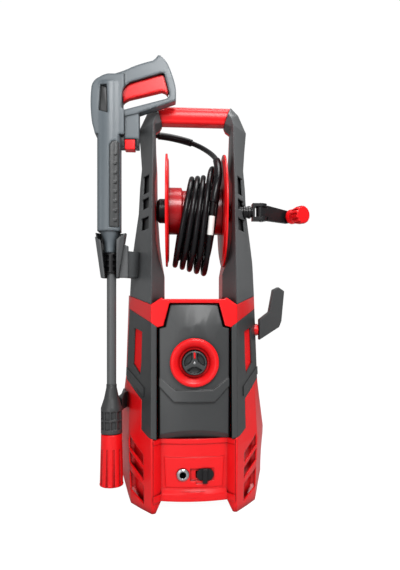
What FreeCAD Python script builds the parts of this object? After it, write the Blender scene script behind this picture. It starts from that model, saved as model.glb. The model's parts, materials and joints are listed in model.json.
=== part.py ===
import FreeCAD, Part
import math
import os
import Sketcher
from FreeCAD import Placement, Rotation, Vector

# Upright electric pressure washer: a two-part red housing with a dark front, two hollow columns
# under a carrying grip, a hose reel between them and a gun with its lance hung at the left.
# X runs to the right, Y to the back and Z up. The origin is on the floor under the middle.

doc = FreeCAD.newDocument("PressureWasher")

# Driving dimensions, in millimetres and degrees
DIMENSIONS = [
    ("wall", 3, "thickness of the moulded casings"),
    ("ridge_x", 85, "half distance between the two front corner ridges"),
    ("ridge_low_y", 155, "how far the ridges stand in front of the middle at the foot"),
    ("ridge_top_y", 142, "the same under the columns"),
    ("belly_x", 164, "half width over the wheel fenders"),
    ("waist_x", 143, "half width under the columns"),
    ("back_y", 150, "depth of the housing behind the middle"),
    ("split_y", 18, "how far the parting line stands in front of the middle"),
    ("deck_z", 419, "top of the deck under the reel"),
    ("seam_z", 143, "seam between the front panel and the base"),
    ("panel_x", 73, "half width of the front panel"),
    ("recess_x", 65, "half width of the recess in the base"),
    ("recess_deep", 20, "depth of the recess in the base"),
    ("recess_foot_z", 20, "bottom edge of the recess"),
    ("ring_z", 294, "height of the switch knob"),
    ("ring_wide", 96, "diameter of the red ring round the knob"),
    ("knob_wide", 47, "diameter of the switch knob"),
    ("grip_z", 806, "middle height of the carrying grip"),
    ("grip_y", 60, "how far the grip stands in front of the middle"),
    ("reel_z", 606, "height of the reel axis"),
    ("reel_y", 60, "how far the reel axis stands in front of the middle"),
    ("reel_wide", 235, "diameter of the reel flanges"),
    ("flange_x", 61.5, "half distance between the reel flanges, outside"),
    ("reel_x", 4, "how far the reel's middle stands to the right"),
    ("drum_wide", 98, "diameter of the reel drum"),
    ("hose_wide", 11, "diameter of the high-pressure hose"),
    ("hang", 112, "how far the first loop hangs under the reel axis"),
    ("hang_more", 22, "how much further the last loop hangs"),
    ("rise", 66, "how far the loops rise over the reel axis"),
    ("wheel_wide", 124, "diameter of the transport wheels"),
    ("wheel_y", 86, "how far the wheel axle stands behind the middle"),
    ("wheel_x", 137, "half distance between the middles of the wheels"),
    ("lance_x", 167, "how far the lance stands to the left of the middle"),
    ("lance_y", 95, "how far the lance stands in front of the middle"),
    ("lance_wide", 19, "diameter of the lance tube"),
    ("nozzle_foot_z", 40, "lowest point of the nozzle"),
    ("nozzle_wide", 47, "diameter of the nozzle cap"),
    ("barrel_wide", 46, "width of the gun barrel"),
    ("motor_y", 20, "how far the motor and pump stand behind the middle"),
    ("motor_wide", 118, "diameter of the motor casing"),
    ("crank_pin_x", 146, "distance of the crank's folding pin from the middle"),
    ("crank_long", 77, "length of the crank arm"),
    ("crank_turn", 30, "angle of the crank arm behind the sideways direction"),
]

sheet = doc.addObject("Spreadsheet::Sheet", "Sizes")
for row, (alias, amount, note) in enumerate(DIMENSIONS, start=1):
    sheet.set("A%d" % row, note)
    sheet.set("B%d" % row, str(amount))
    sheet.setAlias("B%d" % row, alias)
doc.recompute()


class Size:
    """A length with its value and the sheet expression that gives it."""

    def __init__(self, value, text):
        self.value = value
        self.text = text

    def joined(self, other, sign, value):
        text = other.text if isinstance(other, Size) else repr(other)
        return Size(value, "(%s %s %s)" % (self.text, sign, text))

    def __add__(self, other):
        return self.joined(other, "+", self.value + number(other))

    def __sub__(self, other):
        return self.joined(other, "-", self.value - number(other))

    def __mul__(self, other):
        return self.joined(other, "*", self.value * number(other))

    def __truediv__(self, other):
        return self.joined(other, "/", self.value / number(other))

    def __neg__(self):
        return Size(-self.value, "(-1 * %s)" % self.text)

    def __rsub__(self, other):
        return -(self - other)

    __radd__ = __add__
    __rmul__ = __mul__


def number(size):
    return size.value if isinstance(size, Size) else float(size)


def cell(alias):
    return Size(float(sheet.get(alias)), "Sizes.%s" % alias)


def point(x, y, z):
    return Vector(number(x), number(y), number(z))


wall = cell("wall")
ridge_x = cell("ridge_x")
waist_x = cell("waist_x")
back_y = cell("back_y")
split_y = -cell("split_y")
deck_z = cell("deck_z")
seam_z = cell("seam_z")
panel_x = cell("panel_x")
ring_z = cell("ring_z")
grip_y = -cell("grip_y")
grip_z = cell("grip_z")
reel_y = -cell("reel_y")
reel_z = cell("reel_z")
flange_x = cell("flange_x")
reel_x = cell("reel_x")
drum_wide = cell("drum_wide")
hose_wide = cell("hose_wide")
wheel_x = cell("wheel_x")
wheel_y = cell("wheel_y")
wheel_wide = cell("wheel_wide")
wheel_z = wheel_wide / 2 + 1
lance_x = -cell("lance_x")
lance_y = -cell("lance_y")
lance_wide = cell("lance_wide")
motor_y = cell("motor_y")
crank_pin_x = cell("crank_pin_x")

FRONT = (Rotation(Vector(1, 0, 0), 90), Vector(0, 1, 0))
PLAN = (Rotation(), Vector(0, 0, 1))
SIDE = (Rotation(Vector(1, 1, 1), 120), Vector(1, 0, 0))

parts = {}


def bind(thing, **sizes):
    """Set properties and tie those that are sizes to the sheet."""
    for name, size in sizes.items():
        setattr(thing, name, number(size))
        if isinstance(size, Size):
            thing.setExpression(name, size.text)
    return thing


def place(thing, x=0, y=0, z=0, turn=None):
    """Put an object at a spot that follows the sheet."""
    thing.Placement = Placement(point(x, y, z), turn or Rotation())
    for axis, size in (("x", x), ("y", y), ("z", z)):
        if isinstance(size, Size):
            thing.setExpression("Placement.Base.%s" % axis, size.text)
    return thing


def part(name, thing):
    """Name a finished sub-part."""
    thing.Label = name
    parts[name] = thing
    return thing


def draw(sketch, corners):
    """Close an outline through corners; a third value bows the edge to the next corner outwards."""
    spots = [Vector(number(c[0]), number(c[1]), 0) for c in corners]
    count = len(corners)
    area = sum(a.x * b.y - b.x * a.y for a, b in zip(spots, spots[1:] + spots[:1]))
    outwards = -1 if area < 0 else 1
    ends = []
    for i in range(count):
        a = spots[i]
        b = spots[(i + 1) % count]
        if len(corners[i]) > 2:
            along = b.sub(a)
            out = Vector(along.y, -along.x, 0).normalize()
            bow = number(corners[i][2]) * outwards
            middle = a.add(b).multiply(0.5).add(out.multiply(bow))
            edge = sketch.addGeometry(Part.Arc(a, middle, b), False)
        else:
            edge = sketch.addGeometry(Part.LineSegment(a, b), False)
        starts = sketch.getPoint(edge, 1).distanceToPoint(a) < 1e-6
        ends.append((edge, 1, 2) if starts else (edge, 2, 1))
    rules = []
    tied = []
    for i in range(count):
        edge, start, end = ends[i]
        following = ends[(i + 1) % count]
        rules.append(Sketcher.Constraint("Coincident", edge, end, following[0], following[1]))
    for i in range(count):
        edge, start, end = ends[i]
        for axis, size in (("DistanceX", corners[i][0]), ("DistanceY", corners[i][1])):
            if isinstance(size, Size):
                tied.append((len(rules), size.text))
            rules.append(Sketcher.Constraint(axis, -1, 1, edge, start, number(size)))
    sketch.addConstraint(rules)
    for where, text in tied:
        sketch.setExpression("Constraints[%d]" % where, text)
    return sketch


def outline(name, lay, corners, at=0):
    """A closed sketch, laid in the front, plan or side plane at a given distance."""
    sketch = doc.addObject("Sketcher::SketchObject", name)
    draw(sketch, corners)
    axis = {0: "x", 1: "y", 2: "z"}[[abs(v) > 0.5 for v in lay[1]].index(True)]
    place(sketch, turn=lay[0], **{axis: at})
    return sketch


def prism(name, lay, corners, at, reach):
    """Extrude an outline from a plane by a length along the plane's axis."""
    solid = doc.addObject("Part::Extrusion", name)
    solid.Base = outline(name + "Outline", lay, corners, at)
    solid.DirMode = "Custom"
    solid.Dir = lay[1]
    solid.Solid = True
    return bind(solid, LengthFwd=reach)


def box(name, x, y, z):
    """A box between two values along each axis."""
    solid = doc.addObject("Part::Box", name)
    bind(solid, Length=x[1] - x[0], Width=y[1] - y[0], Height=z[1] - z[0])
    return place(solid, x[0], y[0], z[0])


def rod(name, wide, reach, x=0, y=0, z=0, turn=None):
    """A cylinder of a given diameter from a spot."""
    solid = doc.addObject("Part::Cylinder", name)
    bind(solid, Radius=wide / 2, Height=reach)
    return place(solid, x, y, z, turn)


ALONG_X = Rotation(Vector(0, 1, 0), 90)
ALONG_Y = Rotation(Vector(1, 0, 0), -90)


def cut(name, base, *tools):
    """Take one or more tools out of a base."""
    result = doc.addObject("Part::Cut", name)
    result.Base = base
    result.Tool = tools[0] if len(tools) == 1 else fuse(name + "Tools", *tools)
    return result


def fuse(name, *solids):
    result = doc.addObject("Part::MultiFuse", name)
    result.Shapes = list(solids)
    result.Refine = True
    return result


def common(name, base, tool):
    result = doc.addObject("Part::Common", name)
    result.Base = base
    result.Tool = tool
    return result


def mirrored(name, source):
    """The same form on the other side of the middle plane."""
    result = doc.addObject("Part::Mirroring", name)
    result.Source = source
    result.Normal = Vector(1, 0, 0)
    return result


def skin(name, rings):
    """A solid through rings of corners, with straight faces between the rings."""
    wires = []
    for ring in rings:
        spots = [point(*corner) for corner in ring]
        wires.append(Part.makePolygon(spots + [spots[0]]))
    solid = doc.addObject("Part::Feature", name)
    solid.Shape = Part.makeLoft(wires, True, True)
    return solid


def both_sides(half):
    """Complete the right half of a ring of corners with its mirror image."""
    return half + [(-x, y, z) for x, y, z in reversed(half)]


# The housing's outer form, from the floor up, and the same form a wall further in
HULL = [
    (0, ridge_x - 2, cell("ridge_low_y"), 128, -90, 144, 158, 98, 12),
    (130, ridge_x, cell("ridge_low_y"), 134, -85, 150.7, cell("belly_x"), 108, 0),
    (250, ridge_x, 148, 134, -38, 143, waist_x + 6, 104, 2),
    (430, ridge_x, cell("ridge_top_y"), 128, -37, 136, waist_x, 100, 6),
]
FENDER_Y = 34


def hull(name, inset):
    """The housing's form, drawn in by a distance on all its walls."""
    rings = []
    for z, ridge, ridge_front, cheek, cheek_y, side, belly, corner, tuck in HULL:
        half = [
            (ridge - inset * 0.7, -number(ridge_front) + number(inset), z),
            (cheek - inset * 0.95, cheek_y + inset * 0.35, z),
            (side - inset * 1.1, split_y + inset * 0.3, z),
            (belly - inset * 1.05, FENDER_Y, z),
            (belly - inset - 2, FENDER_Y + 36, z),
            (corner - inset * 0.5, back_y - inset - tuck, z),
        ]
        rings.append(both_sides(half))
    return skin(name, rings)


def wheel_arches(name, wide, inner_x):
    """Two short cylinders round the wheels, outside a distance from the middle plane."""
    arches = rod(name, wide, 2 * 175, -175, wheel_y, wheel_z, ALONG_X)
    core = box(name + "Core", (-inner_x, inner_x), (0, 170), (-20, 160))
    return cut(name + "Cut", arches, core)


outer = hull("HousingForm", 0)
inner = hull("HousingHollow", wall)
shell = cut("HousingShell", outer, inner)

# Lower edge of the dark side covers, seen from the front, from the belly down to the seam
COVER_FOOT = [(170, 258), (142, 246), (105, 215), (105, 158), (ridge_x + 6, seam_z + 5)]
# Lower and upper edges of the red band under the columns
BAND_FOOT = [(ridge_x, 372), (142, 402), (170, 402)]
BAND_TOP = [(170, 430), (142, 430), (ridge_x, 408), (64, 422)]
FAR_FRONT = -200
HOOK_Z = 353


def region(name, half, y_from, y_to):
    """A symmetric front-view region; half runs from the middle plane round the right side."""
    other = [(-x, z) for x, z in reversed(half) if number(x) != 0]
    return prism(name, FRONT, half + other, y_from, y_to - y_from)


def body_of(name, x=0, y=0, z=0, turn=None):
    body = doc.addObject("PartDesign::Body", name)
    return place(body, x, y, z, turn)


def origin_plane(body, role):
    return [item for item in body.Origin.OriginFeatures if item.Role == role][0]


def body_sketch(body, name, role, corners, offset=0):
    """A closed sketch on one of a body's own origin planes."""
    sketch = body.newObject("Sketcher::SketchObject", name)
    sketch.AttachmentSupport = [(origin_plane(body, role), "")]
    sketch.MapMode = "FlatFace"
    sketch.AttachmentOffset = Placement(Vector(0, 0, number(offset)), Rotation())
    if isinstance(offset, Size):
        sketch.setExpression("AttachmentOffset.Base.z", offset.text)
    draw(sketch, corners)
    return sketch


def turned(name, corners, x=0, y=0, z=0, turn=None):
    """A body revolved about its own Z axis; corners are radius and height."""
    body = body_of(name, x, y, z, turn)
    sketch = body_sketch(body, name + "Profile", "XZ_Plane", corners)
    feature = body.newObject("PartDesign::Revolution", name + "Revolution")
    feature.Profile = sketch
    feature.ReferenceAxis = (sketch, ["V_Axis"])
    feature.Angle = 360
    body.Tip = feature
    return body


def padded(name, corners, length, x=0, y=0, z=0, turn=None):
    """A body padded from its own XY plane."""
    body = body_of(name, x, y, z, turn)
    sketch = body_sketch(body, name + "Profile", "XY_Plane", corners)
    feature = body.newObject("PartDesign::Pad", name + "Pad")
    feature.Profile = sketch
    bind(feature, Length=length)
    body.Tip = feature
    return body


def pocket_round(body, name, corners, at, deep, count):
    """Pockets cut down from a height, repeated about the body's Z axis."""
    doc.recompute()
    before = body.Shape.Volume
    sketch = body_sketch(body, name + "Outline", "XY_Plane", corners, at)
    pocket = body.newObject("PartDesign::Pocket", name)
    pocket.Profile = sketch
    bind(pocket, Length=deep)
    pattern = body.newObject("PartDesign::PolarPattern", name + "Pattern")
    pattern.Originals = [pocket]
    pattern.Axis = (sketch, ["N_Axis"])
    pattern.Angle = 360
    pattern.Occurrences = count
    body.Tip = pattern
    doc.recompute()
    if body.Shape.Volume > before - 1:
        raise ValueError("%s cuts nothing" % name)
    return body


def make_base_housing():
    """Front lower casing: louvred sides, feet under the ridges and the recess for the outlet."""
    half = [(0, seam_z), (panel_x, seam_z)] + COVER_FOOT[::-1] + [(170, -5), (0, -5)]
    casing = common("BaseCasing", shell, region("BaseRegion", half, FAR_FRONT, split_y))
    recess_x = cell("recess_x")
    deep = cell("recess_deep")
    face_y = -cell("ridge_low_y")
    foot_z = cell("recess_foot_z")
    hollow = prism("RecessHollow", PLAN, [
        (-ridge_x + 4, face_y - 10), (ridge_x - 4, face_y - 10), (ridge_x - 4, face_y + 1),
        (recess_x, face_y + deep), (-recess_x, face_y + deep), (-ridge_x + 4, face_y + 1),
    ], -5, seam_z + 20)

    def back_strip(name, forward, low, high):
        """The bowed back wall of the recess, or a strip standing forward of it."""
        return prism(name, PLAN, [
            (-ridge_x + 5, face_y + 1 - forward), (-recess_x, face_y + deep - forward, 9),
            (recess_x, face_y + deep - forward), (ridge_x - 5, face_y + 1 - forward),
            (ridge_x - 5, face_y + 5), (recess_x + 1, face_y + deep + 3),
            (-recess_x - 1, face_y + deep + 3), (-ridge_x + 5, face_y + 5),
        ], low, high - low)

    def ledge_ring(name, forward, height):
        return outline(name, PLAN, [
            (-recess_x, face_y + deep - forward, 9), (recess_x, face_y + deep - forward),
            (recess_x, face_y + deep + 2), (-recess_x, face_y + deep + 2)], height)

    back = back_strip("RecessBack", 0, foot_z, seam_z)
    top = back_strip("RecessTop", 2.5, seam_z - 10, seam_z)
    ledge = back_strip("RecessLedge", 5, foot_z, foot_z + 14)
    slope = doc.addObject("Part::Loft", "LedgeSlope")
    slope.Sections = [ledge_ring("SlopeFoot", 5, 34), ledge_ring("SlopeTop", 0.4, 43)]
    slope.Solid = True
    slope.Ruled = True
    plate = common("RecessPlate", back_strip("PlateStrip", 1, 44, 108),
                   region("PlateRegion", [(0, 47), (56, 47), (59, 106), (0, 106)], FAR_FRONT, -60))
    pad = prism("RecessPad", PLAN, [(-38, face_y + deep - 6.5, 8), (34, face_y + deep - 6.5),
                                    (34, face_y + deep), (-38, face_y + deep)], 27, 12)
    foot_form = prism("FootForm", PLAN, [
        (64, -134), (82, -160), (100, -160), (100, -134), (84, -122), (64, -122)], 0, 24)
    foot_slant = prism("FootSlant", FRONT, [
        (76, -1), (100, -1), (100, 30), (66, 30), (66, 18)], FAR_FRONT, 100)
    foot = common("FootBlock", common("FootInside", foot_form, hull("FootLimit", 0.5)), foot_slant)
    case_form = prism("LouvreCaseForm", SIDE, [
        (-136, 124), (-136, 4), (-92, 12), (-80, 30), (-80, 146)], 80, 90)
    case_ring = cut("LouvreCaseRing", hull("CaseOut", 2.5), hull("CaseIn", 14))
    case = common("LouvreCase", case_ring, case_form)
    cave_form = prism("LouvreCaveForm", SIDE, [
        (-134, 122), (-134, 6), (-94, 14), (-82, 32), (-82, 144)], 80, 90)
    cave_ring = cut("LouvreCaveRing", hull("CaveOut", 2.9), hull("CaveIn", 12))
    cave = common("LouvreCave", cave_ring, cave_form)
    feet = fuse("Feet", foot, mirrored("FootLeft", foot))
    cases = fuse("Cases", case, mirrored("CaseLeft", case))
    joined = fuse("BaseJoined", cut("BaseCarved", casing, hollow), back, ledge, slope, top, plate,
                  pad, feet, cases)
    skirt = prism("SkirtRise", SIDE, [
        (-120, -6), (-120, 0), (-80, 2), (-50, 6), (-18, 14), (20, 31), (20, -6),
    ], -180, 360)
    middle = box("RecessFootGap", (-66, 66), (FAR_FRONT, -100), (-6, foot_z))
    slots = []
    for label, low_front, low_back in (("Top", 88.5, 114.4), ("Middle", 58, 84), ("Low", 12, 30)):
        tall = 26 if label != "Low" else 40
        slots.append(prism("Louvre" + label, SIDE, [
            (-131, low_front + tall - 4), (-131, low_front), (-86, low_back),
            (-86, low_back + tall - 1)], 90, 80))
    louvres = cut("LouvresRight", fuse("LouvreSlots", *slots), hull("LouvreLimit", 11))
    outlet = rod("OutletHole", 25, 60, -22.5, -180, 72, ALONG_Y)
    latch = box("LatchSlot", (3, 28.5), (-180, -120), (65, 78.5))
    pocket = box("LatchPocket", (-8, 39.5), (-180, -141), (59.8, 84))
    stem_gap = box("LatchStemGap", (3, 28.5), (-180, -143), (54, 62))
    caves = fuse("Caves", cave, mirrored("CaveLeft", cave))
    trimmed = cut("BaseTrimmed", joined, skirt, middle, louvres, mirrored("LouvresLeft", louvres),
                  outlet, latch, pocket, stem_gap, caves)
    return part("base_housing", trimmed)


# Where the housing screws sit on the back wall, which leans forward towards the top
SCREWS = [(x, y, z) for z, y in ((170, 150.6), (300, 148.2), (380, 146.4)) for x in (-84, 84)]


def screw(name, spot, grown=0):
    """A housing screw, or the sink it sits in when it is grown by the clearance."""
    head = 4 + grown
    shank = 2 + grown / 2
    return turned(name, [(0, -grown * 8), (head, -grown * 8), (head, 2.4), (shank, 2.4),
                         (shank, 9 + grown), (0, 9 + grown)], *spot,
                  Rotation(Vector(1, 0, 0), 90))


def make_rear_housing():
    """Rear casing: back wall with vents, wheel arches and the bulging fenders."""
    half = [(0, -5), (170, -5), (170, 402), (0, 402)]
    casing = common("RearCasing", shell, region("RearRegion", half, split_y, 200))
    arches = wheel_arches("Arch", 142, 112)
    wells = cut("WheelWells", wheel_arches("WellForm", 147, 109), arches)
    wells = common("WellsInside", wells, hull("WellLimit", 0.5))
    skirt = prism("RearSkirt", SIDE, [(-20, -6), (-20, 13), (20, 31), (34, 34), (60, 14), (160, 14),
                                      (160, -6)], -180, 360)
    vents = []
    for step in range(6):
        vents.append(box("Vent%d" % step, (-42, 42), (120, 180), (210 + 14 * step, 216 + 14 * step)))
    inlet = rod("InletHole", 30, 60, 46, 120, 70, ALONG_Y)
    gland = rod("GlandHole", 18, 60, -46, 120, 70, ALONG_Y)
    axle = rod("AxleHole", 10.4, 300, -150, wheel_y, wheel_z, ALONG_X)
    seat = rod("HookSeatHoleRear", 26.4, 40, 125, -12, HOOK_Z, ALONG_X)
    sinks = [screw("ScrewSink%d" % i, spot, 0.3) for i, spot in enumerate(SCREWS)]
    whole = fuse("RearWhole", cut("RearArched", casing, arches), wells)
    return part("rear_housing", cut("RearTrimmed", whole, skirt, fuse("Vents", *vents),
                                    inlet, gland, axle, seat, *sinks))


def make_top_deck():
    """Red band and deck under the columns, with the legs that frame the panel's top."""
    top = BAND_TOP + [(62, deck_z), (0, deck_z)]
    front_half = [(0, 411), (49, 411), (61, 366), (panel_x, 363)] + BAND_FOOT + top
    front = region("BandFront", front_half, FAR_FRONT, split_y)
    rear = region("BandRear", [(0, 402), (170, 402)] + top, split_y, 200)
    hollow = common("BandHollow", inner, box("UnderDeck", (-200, 200), (-200, 200), (300, 404)))
    bowl = cut("BandShell", outer, hollow)
    return part("top_deck", common("TopDeck", bowl, fuse("BandRegion", front, rear)))


def make_side_cover(side):
    """Dark cover over a front corner, with its window and on the right the hook's hole."""
    sign = 1 if side == "right" else -1
    name = "Cover" + side.capitalize()
    half = [(panel_x + 1, seam_z + 0.5)] + COVER_FOOT[::-1] + BAND_FOOT[::-1]
    half.append((panel_x + 1, 363.5))
    corners = [(x * sign, z) for x, z in half]
    casing = common(name + "Casing", shell, prism(name + "Region", FRONT, corners, FAR_FRONT,
                                                  split_y - FAR_FRONT))
    inner_x = (panel_x + 1) * sign
    ends = (inner_x, inner_x + 3) if sign > 0 else (inner_x - 3, inner_x)
    flange = prism(name + "Return", SIDE, [
        (-152, seam_z + 0.5), (-142.5, 363), (-126, 363), (-132, seam_z + 0.5)], ends[0], 3)
    window = prism(name + "Window", SIDE, WINDOW, -180 if sign < 0 else 90, 90)
    bar = common(name + "Bar", cut(name + "BarRing", hull(name + "BarOut", -1.6),
                                   hull(name + "BarIn", 1)),
                 prism(name + "BarRegion", FRONT, [
                     (sign * 160, 268), (sign * 160, 285), (sign * 101, 241), (sign * 101, 222)],
                       FAR_FRONT, split_y - FAR_FRONT))
    openings = [window]
    if side == "right":
        openings.append(rod("HookSeatHoleFront", 26.4, 40, 125, -12, HOOK_Z, ALONG_X))
    return part("side_cover_" + side, cut(name + "Trimmed", fuse(name + "Joined", casing, flange, bar),
                                          *openings))


def make_lance_rest():
    """Dark arm from the left belly to behind the lance; the nozzle passes it when lifted."""
    arm = prism("RestArm", PLAN, [
        (-130, -15), (-142, -40), (-145.5, -56), (-147, -80), (-150, -72), (-156, -67.5),
        (-176, -69.5), (-176, -65), (-154, -62), (-150.5, -54), (-153, 14), (-130, 14)], 189, 33)
    slope = prism("RestSlope", SIDE, [(-90, 208), (-40, 226), (-90, 226)], -190, 80)
    return part("lance_rest", cut("LanceRest", arm, outer, slope))


WINDOW = [(-97, 353), (-51, 359.5), (-50, 283), (-92, 263), (-97, 292)]


def make_side_window(side):
    """Red insert behind the window of a side cover."""
    sign = 1 if side == "right" else -1
    name = "Window" + side.capitalize()
    grown = [(-100, 357), (-47.5, 363.5), (-46.5, 279), (-91, 258), (-100.5, 290)]
    block = prism(name + "Region", SIDE, grown, -180 if sign < 0 else 90, 90)
    sheet_form = cut(name + "Sheet", hull(name + "Out", wall + 0.3), hull(name + "In", wall + 2.8))
    return part("side_window_" + side, common(name + "Insert", sheet_form, block))


def panel_form(name, forward):
    """The front panel's bowed block up to the crease and the leaning facet above it."""
    def ring(label, height, half, edge_y, bow):
        return outline(name + label, PLAN, [
            (-half, edge_y - forward, bow), (half, edge_y - forward), (half, -100), (-half, -100),
        ], height)
    lower = doc.addObject("Part::Loft", name + "Lower")
    lower.Sections = [ring("Foot", seam_z + 0.5, panel_x - 1, -146, 9),
                      ring("Crease", 366, panel_x - 1, -141.5, 8)]
    upper = doc.addObject("Part::Loft", name + "Upper")
    upper.Sections = [ring("CreaseTop", 366, panel_x - 1, -141.5, 8),
                      ring("Top", 410.5, panel_x - 1, -131, 6)]
    rim = doc.addObject("Part::Loft", name + "Rim")
    rim.Sections = [panel_edge(name + "RimBack", -126 - forward, 0, 128),
                    panel_edge(name + "RimFront", -158 - forward, 7, 166)]
    for form in (lower, upper, rim):
        form.Solid = True
        form.Ruled = True
    return common(name + "Form", fuse(name + "Block", lower, upper), rim)


def panel_edge(name, at, drawn_in, foot_z):
    """The front panel's outline at a depth; its rim slopes inwards towards the front."""
    half = [(panel_x - 1 - drawn_in, foot_z), (panel_x - 1 - drawn_in, 362 - drawn_in * 0.4),
            (60 - drawn_in, 365 - drawn_in * 0.4), (48 - drawn_in * 0.8, 410.5 - drawn_in)]
    other = [(-x, z) for x, z in reversed(half)]
    return outline(name, FRONT, half + other, at)


def make_front_panel():
    """Dark front panel: bowed sheet, leaning top facet, faceted chin bar and the knob's seat."""
    sheet_form = cut("PanelSheet", panel_form("Panel", 0), panel_form("PanelBack", -3))
    chin_region = prism("ChinRegion", FRONT, [
        (-panel_x, 267), (-panel_x, 251), (-40, 217), (40, 217), (panel_x, 251), (panel_x, 267),
        (36, 240), (-36, 240)], FAR_FRONT, 100)
    swell = doc.addObject("Part::Loft", "ChinSwell")
    swell.Sections = [
        outline("ChinFoot", PLAN, [(-69, -150, 9), (69, -150), (69, -143), (-69, -143)], 214),
        outline("ChinTop", PLAN, [(-69, -144.5, 8.4), (69, -144.5), (69, -141), (-69, -141)], 268)]
    swell.Solid = True
    swell.Ruled = True
    chin = common("Chin", swell, chin_region)
    joined = fuse("PanelJoined", sheet_form, chin)
    seat = rod("RingSeat", 82.4, 100, 0, FAR_FRONT, ring_z, ALONG_Y)
    return part("front_panel", cut("PanelTrimmed", joined, seat))


RING_Y = -149.6


def make_knob_ring():
    """Red dished ring round the switch knob."""
    outer_r = cell("ring_wide") / 2
    hub_r = cell("knob_wide") / 2 + 1.5
    return part("knob_ring", turned("KnobRing", [
        (hub_r, -2), (outer_r - 7, -2), (outer_r - 7, 4), (outer_r, 4), (outer_r, 7, 3),
        (outer_r - 9, 10.5), (outer_r - 16, 6), (hub_r + 4, 2.5), (hub_r, 2),
    ], 0, RING_Y, ring_z, Rotation(Vector(1, 0, 0), 90)))


# Right column, ring by ring from the deck to the grip: the lean of the ring, then the ridge, the
# outer front and rear corners, and the inner rear and front corners
COLUMN = [
    [0, (85, -143, 402), (137.5, -18, 402), (139, 40, 402), (62, 40, 402), (61, -78, 402)],
    [0, (84.5, -137, 472), (133.5, -22, 472), (133.5, 36, 472), (62, 36, 472), (61, -76, 472)],
    [0, (84, -134, 500), (131.5, -25, 500), (131.5, 30, 500), (67, 30, 500), (71, -96, 500)],
    [0, (84, -130, 540), (125.5, -32, 540), (126, 22, 540), (72, 22, 540), (77, -108, 540)],
    [0, (84, -122, 602), (115.5, -44, 602), (117, 10, 602), (76, 10, 602), (79, -108, 602)],
    [0, (84, -114, 657), (112.5, -46, 657), (113, 4, 657), (77, 4, 657), (79, -102, 657)],
    [0, (83.5, -108, 697), (108.5, -48, 697), (109, -4, 697), (77, -4, 697), (78.5, -97, 697)],
    [0, (83, -102, 738), (111.5, -44, 738), (112, -14, 738), (79, -14, 738), (78.5, -92, 738)],
    [15, (83, -97, 779), (115, -44, 779), (115, -20, 779), (80, -20, 779), (79, -88, 779)],
    [45, (79, -90, 797), (96, -62, 811), (96, -26, 811), (71, -26, 783), (72, -82, 784)],
    [70, (72.5, -84, 807), (78.6, -72, 824), (78.6, -36, 824), (66.1, -36, 789), (66.1, -76, 789)],
]
# How much of the inner wall belongs to the front shell, ring by ring
FRONT_SHARE = [0.03, 0.03, 0.03, 0.03, 0.03, 0.03, 0.7, 0.8, 0.8, 0.8, 0.8]
# Both the columns and the grip end on one slanted plane: its foot and its run to the side per rise
GRIP_END_X = 66.1
GRIP_END_Z = 789
GRIP_END_SLOPE = 0.357


def column_shell(side, half):
    """A column's front or rear shell: a bent wall carried through the rings."""
    sign = 1 if side == "right" else -1
    rings = []
    for ring, share in zip(COLUMN, FRONT_SHARE):
        lean, ridge, outer_front, outer_rear, inner_rear, inner_front = ring
        seam = [a + (b - a) * share for a, b in zip(inner_front, inner_rear)]
        across = math.cos(math.radians(lean))
        up = math.sin(math.radians(lean))

        def spot(corner, inward=0, back=0):
            x = corner[0] + inward * across
            z = corner[2] + inward * up
            if lean == 70:
                x = GRIP_END_X + (z - GRIP_END_Z) * GRIP_END_SLOPE
            return (x * sign, corner[1] + back, z)

        if half == "front":
            rings.append([
                spot(ridge), spot(outer_front), spot(outer_front, -3.6), spot(ridge, 0, 9),
                spot(inner_front, 3.2, 1), spot(seam, 3.2), spot(seam), spot(inner_front)])
        else:
            rings.append([
                spot(outer_front, -0.4, 0.2), spot(outer_rear), spot(inner_rear),
                spot(seam, 0, 0.6), spot(seam, 3.2, 0.6), spot(inner_rear, 3, -3),
                spot(outer_rear, -3, -3), spot(outer_front, -3.4, 0.2)])
    return skin("Column" + side + half, rings)


def make_column(side):
    """Hollow column in two shells; the ridge, three slots and the reel's bearing hole."""
    sign = 1 if side == "right" else -1
    name = "Column" + side.capitalize()
    edge = [(x * sign, z + 0.5) for x, z in BAND_TOP[::-1]]
    below = prism(name + "Below", FRONT, [(50 * sign, 380), (50 * sign, 420)] + edge +
                  [(170 * sign, 380)], FAR_FRONT, 400)
    slots = []
    for label, low, high in (("Top", 638, 676), ("Middle", 606, 628), ("Low", 562, 588)):
        slots.append(prism(name + "Slot" + label, SIDE, [
            (-99 + (640 - low) * -0.13, low), (-62, low), (-62, high), (-99 + (640 - high) * -0.13, high),
        ], 88 * sign if sign > 0 else -130, 42))
    if side == "right":
        bearing = rod(name + "Bearing", 29, 90, 70, reel_y, reel_z, ALONG_X)
    else:
        bearing = rod(name + "Bearing", 24, 20, -90, reel_y, reel_z, ALONG_X)
    front = cut(name + "FrontCut", column_shell(side, "front"), below, bearing, *slots)
    part("column_front_" + side, front)
    part("column_rear_" + side, cut(name + "RearCut", column_shell(side, "rear"), below, bearing))


def make_carry_grip():
    """Red grip bar with rounded edges and slanted ends."""
    bar = padded("GripBar", [
        (-17.5, -10, 2.5), (-10, -17, 2), (11, -17, 2.5), (17.5, -10, 0.8), (17.5, 10, 2.5),
        (10, 17, 2), (-10, 17, 2.5), (-17.5, 10, 0.8)], 180, -90, grip_y + 4, grip_z, ALONG_X)
    def end_x(z):
        return GRIP_END_X - 0.1 + (z - GRIP_END_Z) * GRIP_END_SLOPE
    ends = region("GripEnds", [(0, 780), (end_x(780), 780), (end_x(830), 830), (0, 830)], -120, 0)
    return part("carry_grip", common("CarryGrip", bar, ends))


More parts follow.
